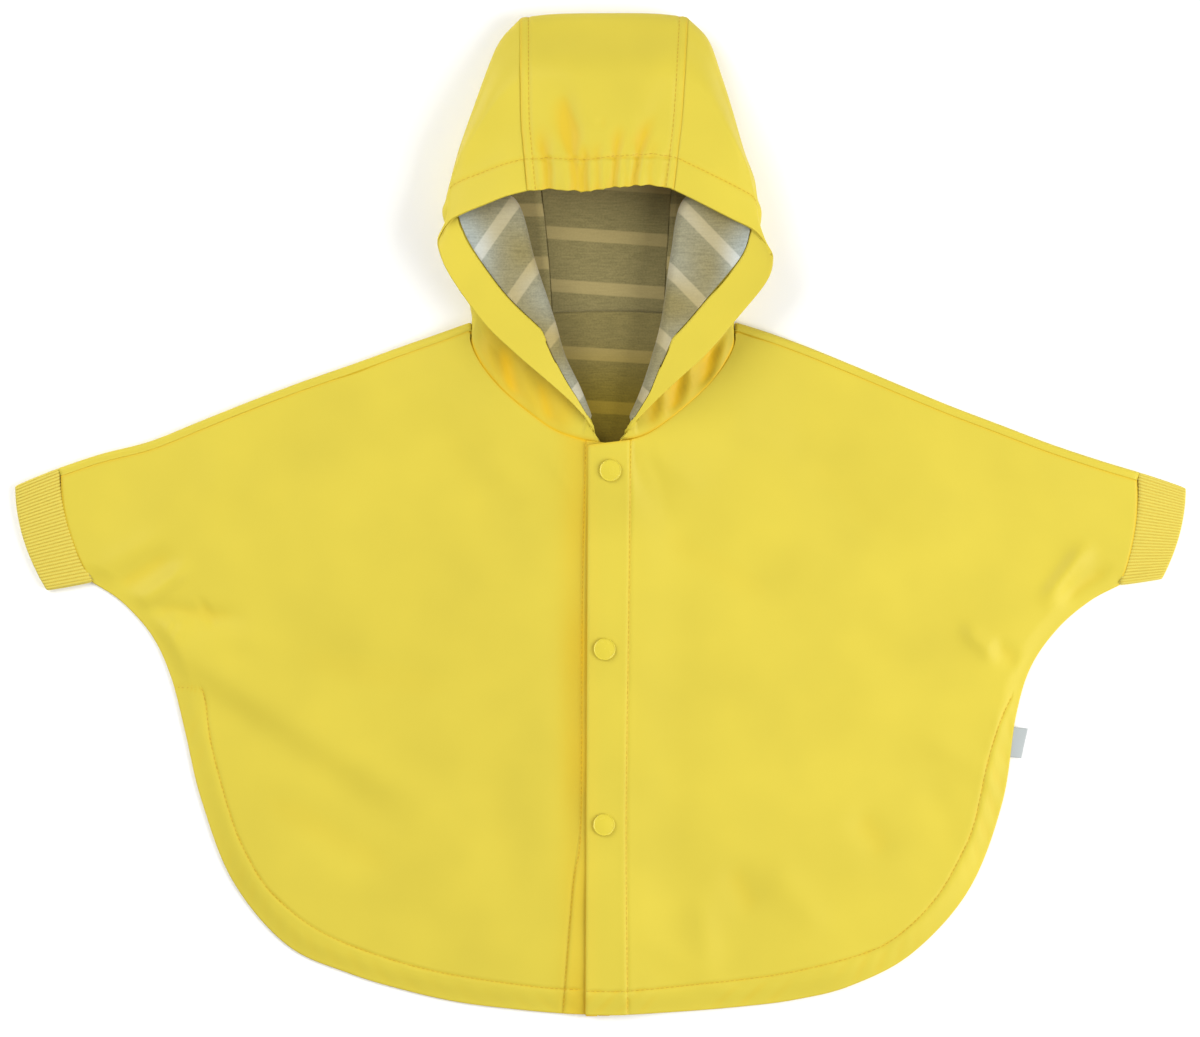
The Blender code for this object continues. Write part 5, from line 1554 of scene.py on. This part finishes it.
def snap_cap(x, y, turn):
    """A snap cap: its profile turned about its middle, tilted as the band lies below it, with a fan of triangles
    at each end."""
    profile = smooth_line(SNAP_PROFILE, 0.02)
    profile = np.concatenate([profile[:: max(1, len(profile) // 44)], profile[-1:]])
    angle = np.arange(SNAP_POINTS_AROUND) * 2 * math.pi / SNAP_POINTS_AROUND + turn
    reach = np.clip(profile[:, :1], 0.0, 1.0) * SNAP_RADIUS
    px, py = x + reach * np.cos(angle), y + reach * np.sin(angle)
    steps = np.array([(-5, 0), (5, 0), (0, -5), (0, 5)])
    west, east, south, north = front_height(x + steps[:, 0], y + steps[:, 1], RIGHT, stitched=False)
    base = (west + east + south + north) / 4
    pz = base + (east - west) / 10 * (px - x) + (north - south) / 10 * (py - y) + profile[:, 1:]
    points = np.stack([px, py, pz], axis=-1)[1:-1].reshape(-1, 3)
    ends = [[x, y, base + profile[0, 1]], [x, y, base + profile[-1, 1]]]
    index = np.arange(len(points)).reshape(-1, SNAP_POINTS_AROUND)
    beside = np.roll(index, -1, axis=1)
    faces = ring_quads(index).tolist()
    faces += [[index.size, b, a] for a, b in zip(index[0].tolist(), beside[0].tolist())]
    faces += [[index.size + 1, a, b] for a, b in zip(index[-1].tolist(), beside[-1].tolist())]
    return np.concatenate([points, ends]), faces


class CAPE_OT_snaps(bpy.types.Operator):
    """Builds the caps of the snaps on the overlapping band"""

    bl_idname = "rain_cape.snaps"
    bl_label = "Snaps"

    def execute(self, context):
        plastic = snap_plastic(context.scene.rain_cape)
        for node, x, y, turn in SNAPS:
            points, faces = snap_cap(x, y, turn)
            obj = mesh_object(node + "_moulded", points, faces, plastic)
            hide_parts(node)
        return {"FINISHED"}


def label_grid():
    """The side label as one folded strip: from the side seam out along its front, round the fold and back. Its
    height is half a sine wave across, with a slower one along it."""
    side = catmull(wing_line(RIGHT)[1], np.linspace(3.5, 5.2, 60))[::-1]
    y = np.linspace(*LABEL_Y, 30)
    inner = np.interp(y, side[:, 1], side[:, 0]) - LABEL_TUCKED
    width = np.interp(y, LABEL_Y[::-1], LABEL_WIDTH[::-1]) + LABEL_TUCKED + 0.8
    across = np.linspace(0, 1, 16)
    x = inner[:, None] + width[:, None] * across
    y = y[:, None] + 0 * x
    z = 1.55 + 0.35 * np.sin(math.pi * across) - 0.25 * across + 0.1 * np.sin(y / 3.0) * across
    y = y - 0.9 * across
    top = np.dstack([x, y, z])
    low = (top - [0, 0, LABEL_FOLD])[:, ::-1]
    return np.concatenate([top, top[:, -1:] + [0.25, 0, -0.33], low], axis=1)


class CAPE_OT_label(bpy.types.Operator):
    """Builds the bare folded tab in the side seam"""

    bl_idname = "rain_cape.label"
    bl_label = "Side label"

    def execute(self, context):
        tape = label_tape(context.scene.rain_cape)
        obj = cloth_object("side_label_tape", label_grid(), False, LABEL_THICKNESS * MM, tape)
        declare("side_label")
        return {"FINISHED"}


class CAPE_OT_stitching(bpy.types.Operator):
    """Sews the stitch lines of the hems, bands, hood and casing"""

    bl_idname = "rain_cape.stitching"
    bl_label = "Stitching"

    def execute(self, context):
        sizes = context.scene.rain_cape
        thread, length, width = sewing_thread(sizes), sizes.stitch_length / MM, sizes.thread_width / MM
        for side, name in ((LEFT, "front_left_stitches"), (RIGHT, "front_right_stitches")):
            stitches(name, [plan_run(line, side) for line in stitch_lines(side)], length, width, thread)
        (left, _), (centre, _), (right, _) = hood_shell()
        rim, along = run_from(centre, 0, True), run_from(centre, 1)
        runs = [
            grid_run(centre, False, rim, CASING_WIDTH, 0),
            grid_run(centre, False, along, TOPSTITCH, 1),
            grid_run(centre, False, along[:, -1:] - along, TOPSTITCH, 1),
        ]
        sewn = slice(0, CASING_SECTION * SECTION_LINES + 2)
        for grid, flip in ((left, False), (right, True)):
            runs.append(grid_run(grid, flip, run_from(grid, 1, True), CASING_WIDTH, 1, sewn))
        stitches("hood_stitches", runs, length, width, thread)
        return {"FINISHED"}


class CAPE_OT_stage(bpy.types.Operator):
    """Sets the white table, the soft light and the camera straight above"""

    bl_idname = "rain_cape.stage"
    bl_label = "Stage"

    def execute(self, context):
        scene = context.scene
        stage = scene.rain_cape_stage
        mesh = bpy.data.meshes.new("table")
        corners = ((-1, -1), (1, -1), (1, 1), (-1, 1))
        mesh.from_pydata([(x * TABLE_REACH, y * TABLE_REACH, -TABLE_DROP) for x, y in corners], [], [(0, 1, 2, 3)])
        mesh.materials.append(table_top())
        floor = bpy.data.objects.new("table", mesh)
        scene.collection.objects.link(floor)
        world = bpy.data.worlds.new("white_room")
        world.use_nodes = True
        background = world.node_tree.nodes["Background"]
        background.inputs["Color"].default_value = (1.0, 1.0, 1.0, 1.0)
        background.inputs["Strength"].default_value = stage.sky
        scene.world = world
        # Columns: name, place in metres, power
        lights = (
            ("key", (1.45, -0.35, 1.1), stage.key_power),
            ("fill", (-1.2, 0.75, 1.15), stage.fill_power),
        )
        for name, place, power in lights:
            light = bpy.data.lights.new(name, "AREA")
            light.size = LIGHT_SIZE
            light.energy = power
            lamp = bpy.data.objects.new(name, light)
            lamp.location = place
            lamp.rotation_euler = (-Vector(place)).to_track_quat("-Z", "Y").to_euler()
            scene.collection.objects.link(lamp)
        camera = bpy.data.objects.new("camera", bpy.data.cameras.new("camera"))
        camera.data.sensor_width = SENSOR_WIDTH
        camera.data.lens = SENSOR_WIDTH * CAMERA_HEIGHT / PHOTO_WIDTH
        camera.data.clip_end = 20.0
        camera.location = (PHOTO_CENTRE[0] * MM, PHOTO_CENTRE[1] * MM, CAMERA_HEIGHT * MM)
        scene.collection.objects.link(camera)
        scene.camera = camera
        scene.view_settings.view_transform = "Standard"
        return {"FINISHED"}


class CAPE_PT_panel(bpy.types.Panel):
    """Lists the cape's pieces and settings"""

    bl_idname = "CAPE_PT_panel"
    bl_label = "Rain Cape"
    bl_space_type = "VIEW_3D"
    bl_region_type = "UI"
    bl_category = "Rain Cape"

    def draw(self, context):
        layout = self.layout
        for operator in OPERATORS:
            layout.operator(operator.bl_idname)
        for settings in (context.scene.rain_cape, context.scene.rain_cape_stage):
            box = layout.box()
            for key in settings.__annotations__:
                box.prop(settings, key)


OPERATORS = (
    CAPE_OT_back,
    CAPE_OT_fronts,
    CAPE_OT_hood,
    CAPE_OT_lining,
    CAPE_OT_cuffs,
    CAPE_OT_snaps,
    CAPE_OT_label,
    CAPE_OT_stitching,
    CAPE_OT_stage,
)


def register():
    for cls in (CapeSizes, CapeStage, *OPERATORS, CAPE_PT_panel):
        bpy.utils.register_class(cls)
    bpy.types.Scene.rain_cape = bpy.props.PointerProperty(type=CapeSizes)
    bpy.types.Scene.rain_cape_stage = bpy.props.PointerProperty(type=CapeStage)


def unregister():
    del bpy.types.Scene.rain_cape_stage
    del bpy.types.Scene.rain_cape
    for cls in (CAPE_PT_panel, *reversed(OPERATORS), CapeStage, CapeSizes):
        bpy.utils.unregister_class(cls)


def main():
    register()
    ops = bpy.ops.rain_cape
    for step in (
        ops.back, ops.fronts, ops.hood, ops.lining, ops.cuffs, ops.snaps, ops.label, ops.stitching, ops.stage
    ):
        step()


if __name__ == "__main__":
    main()
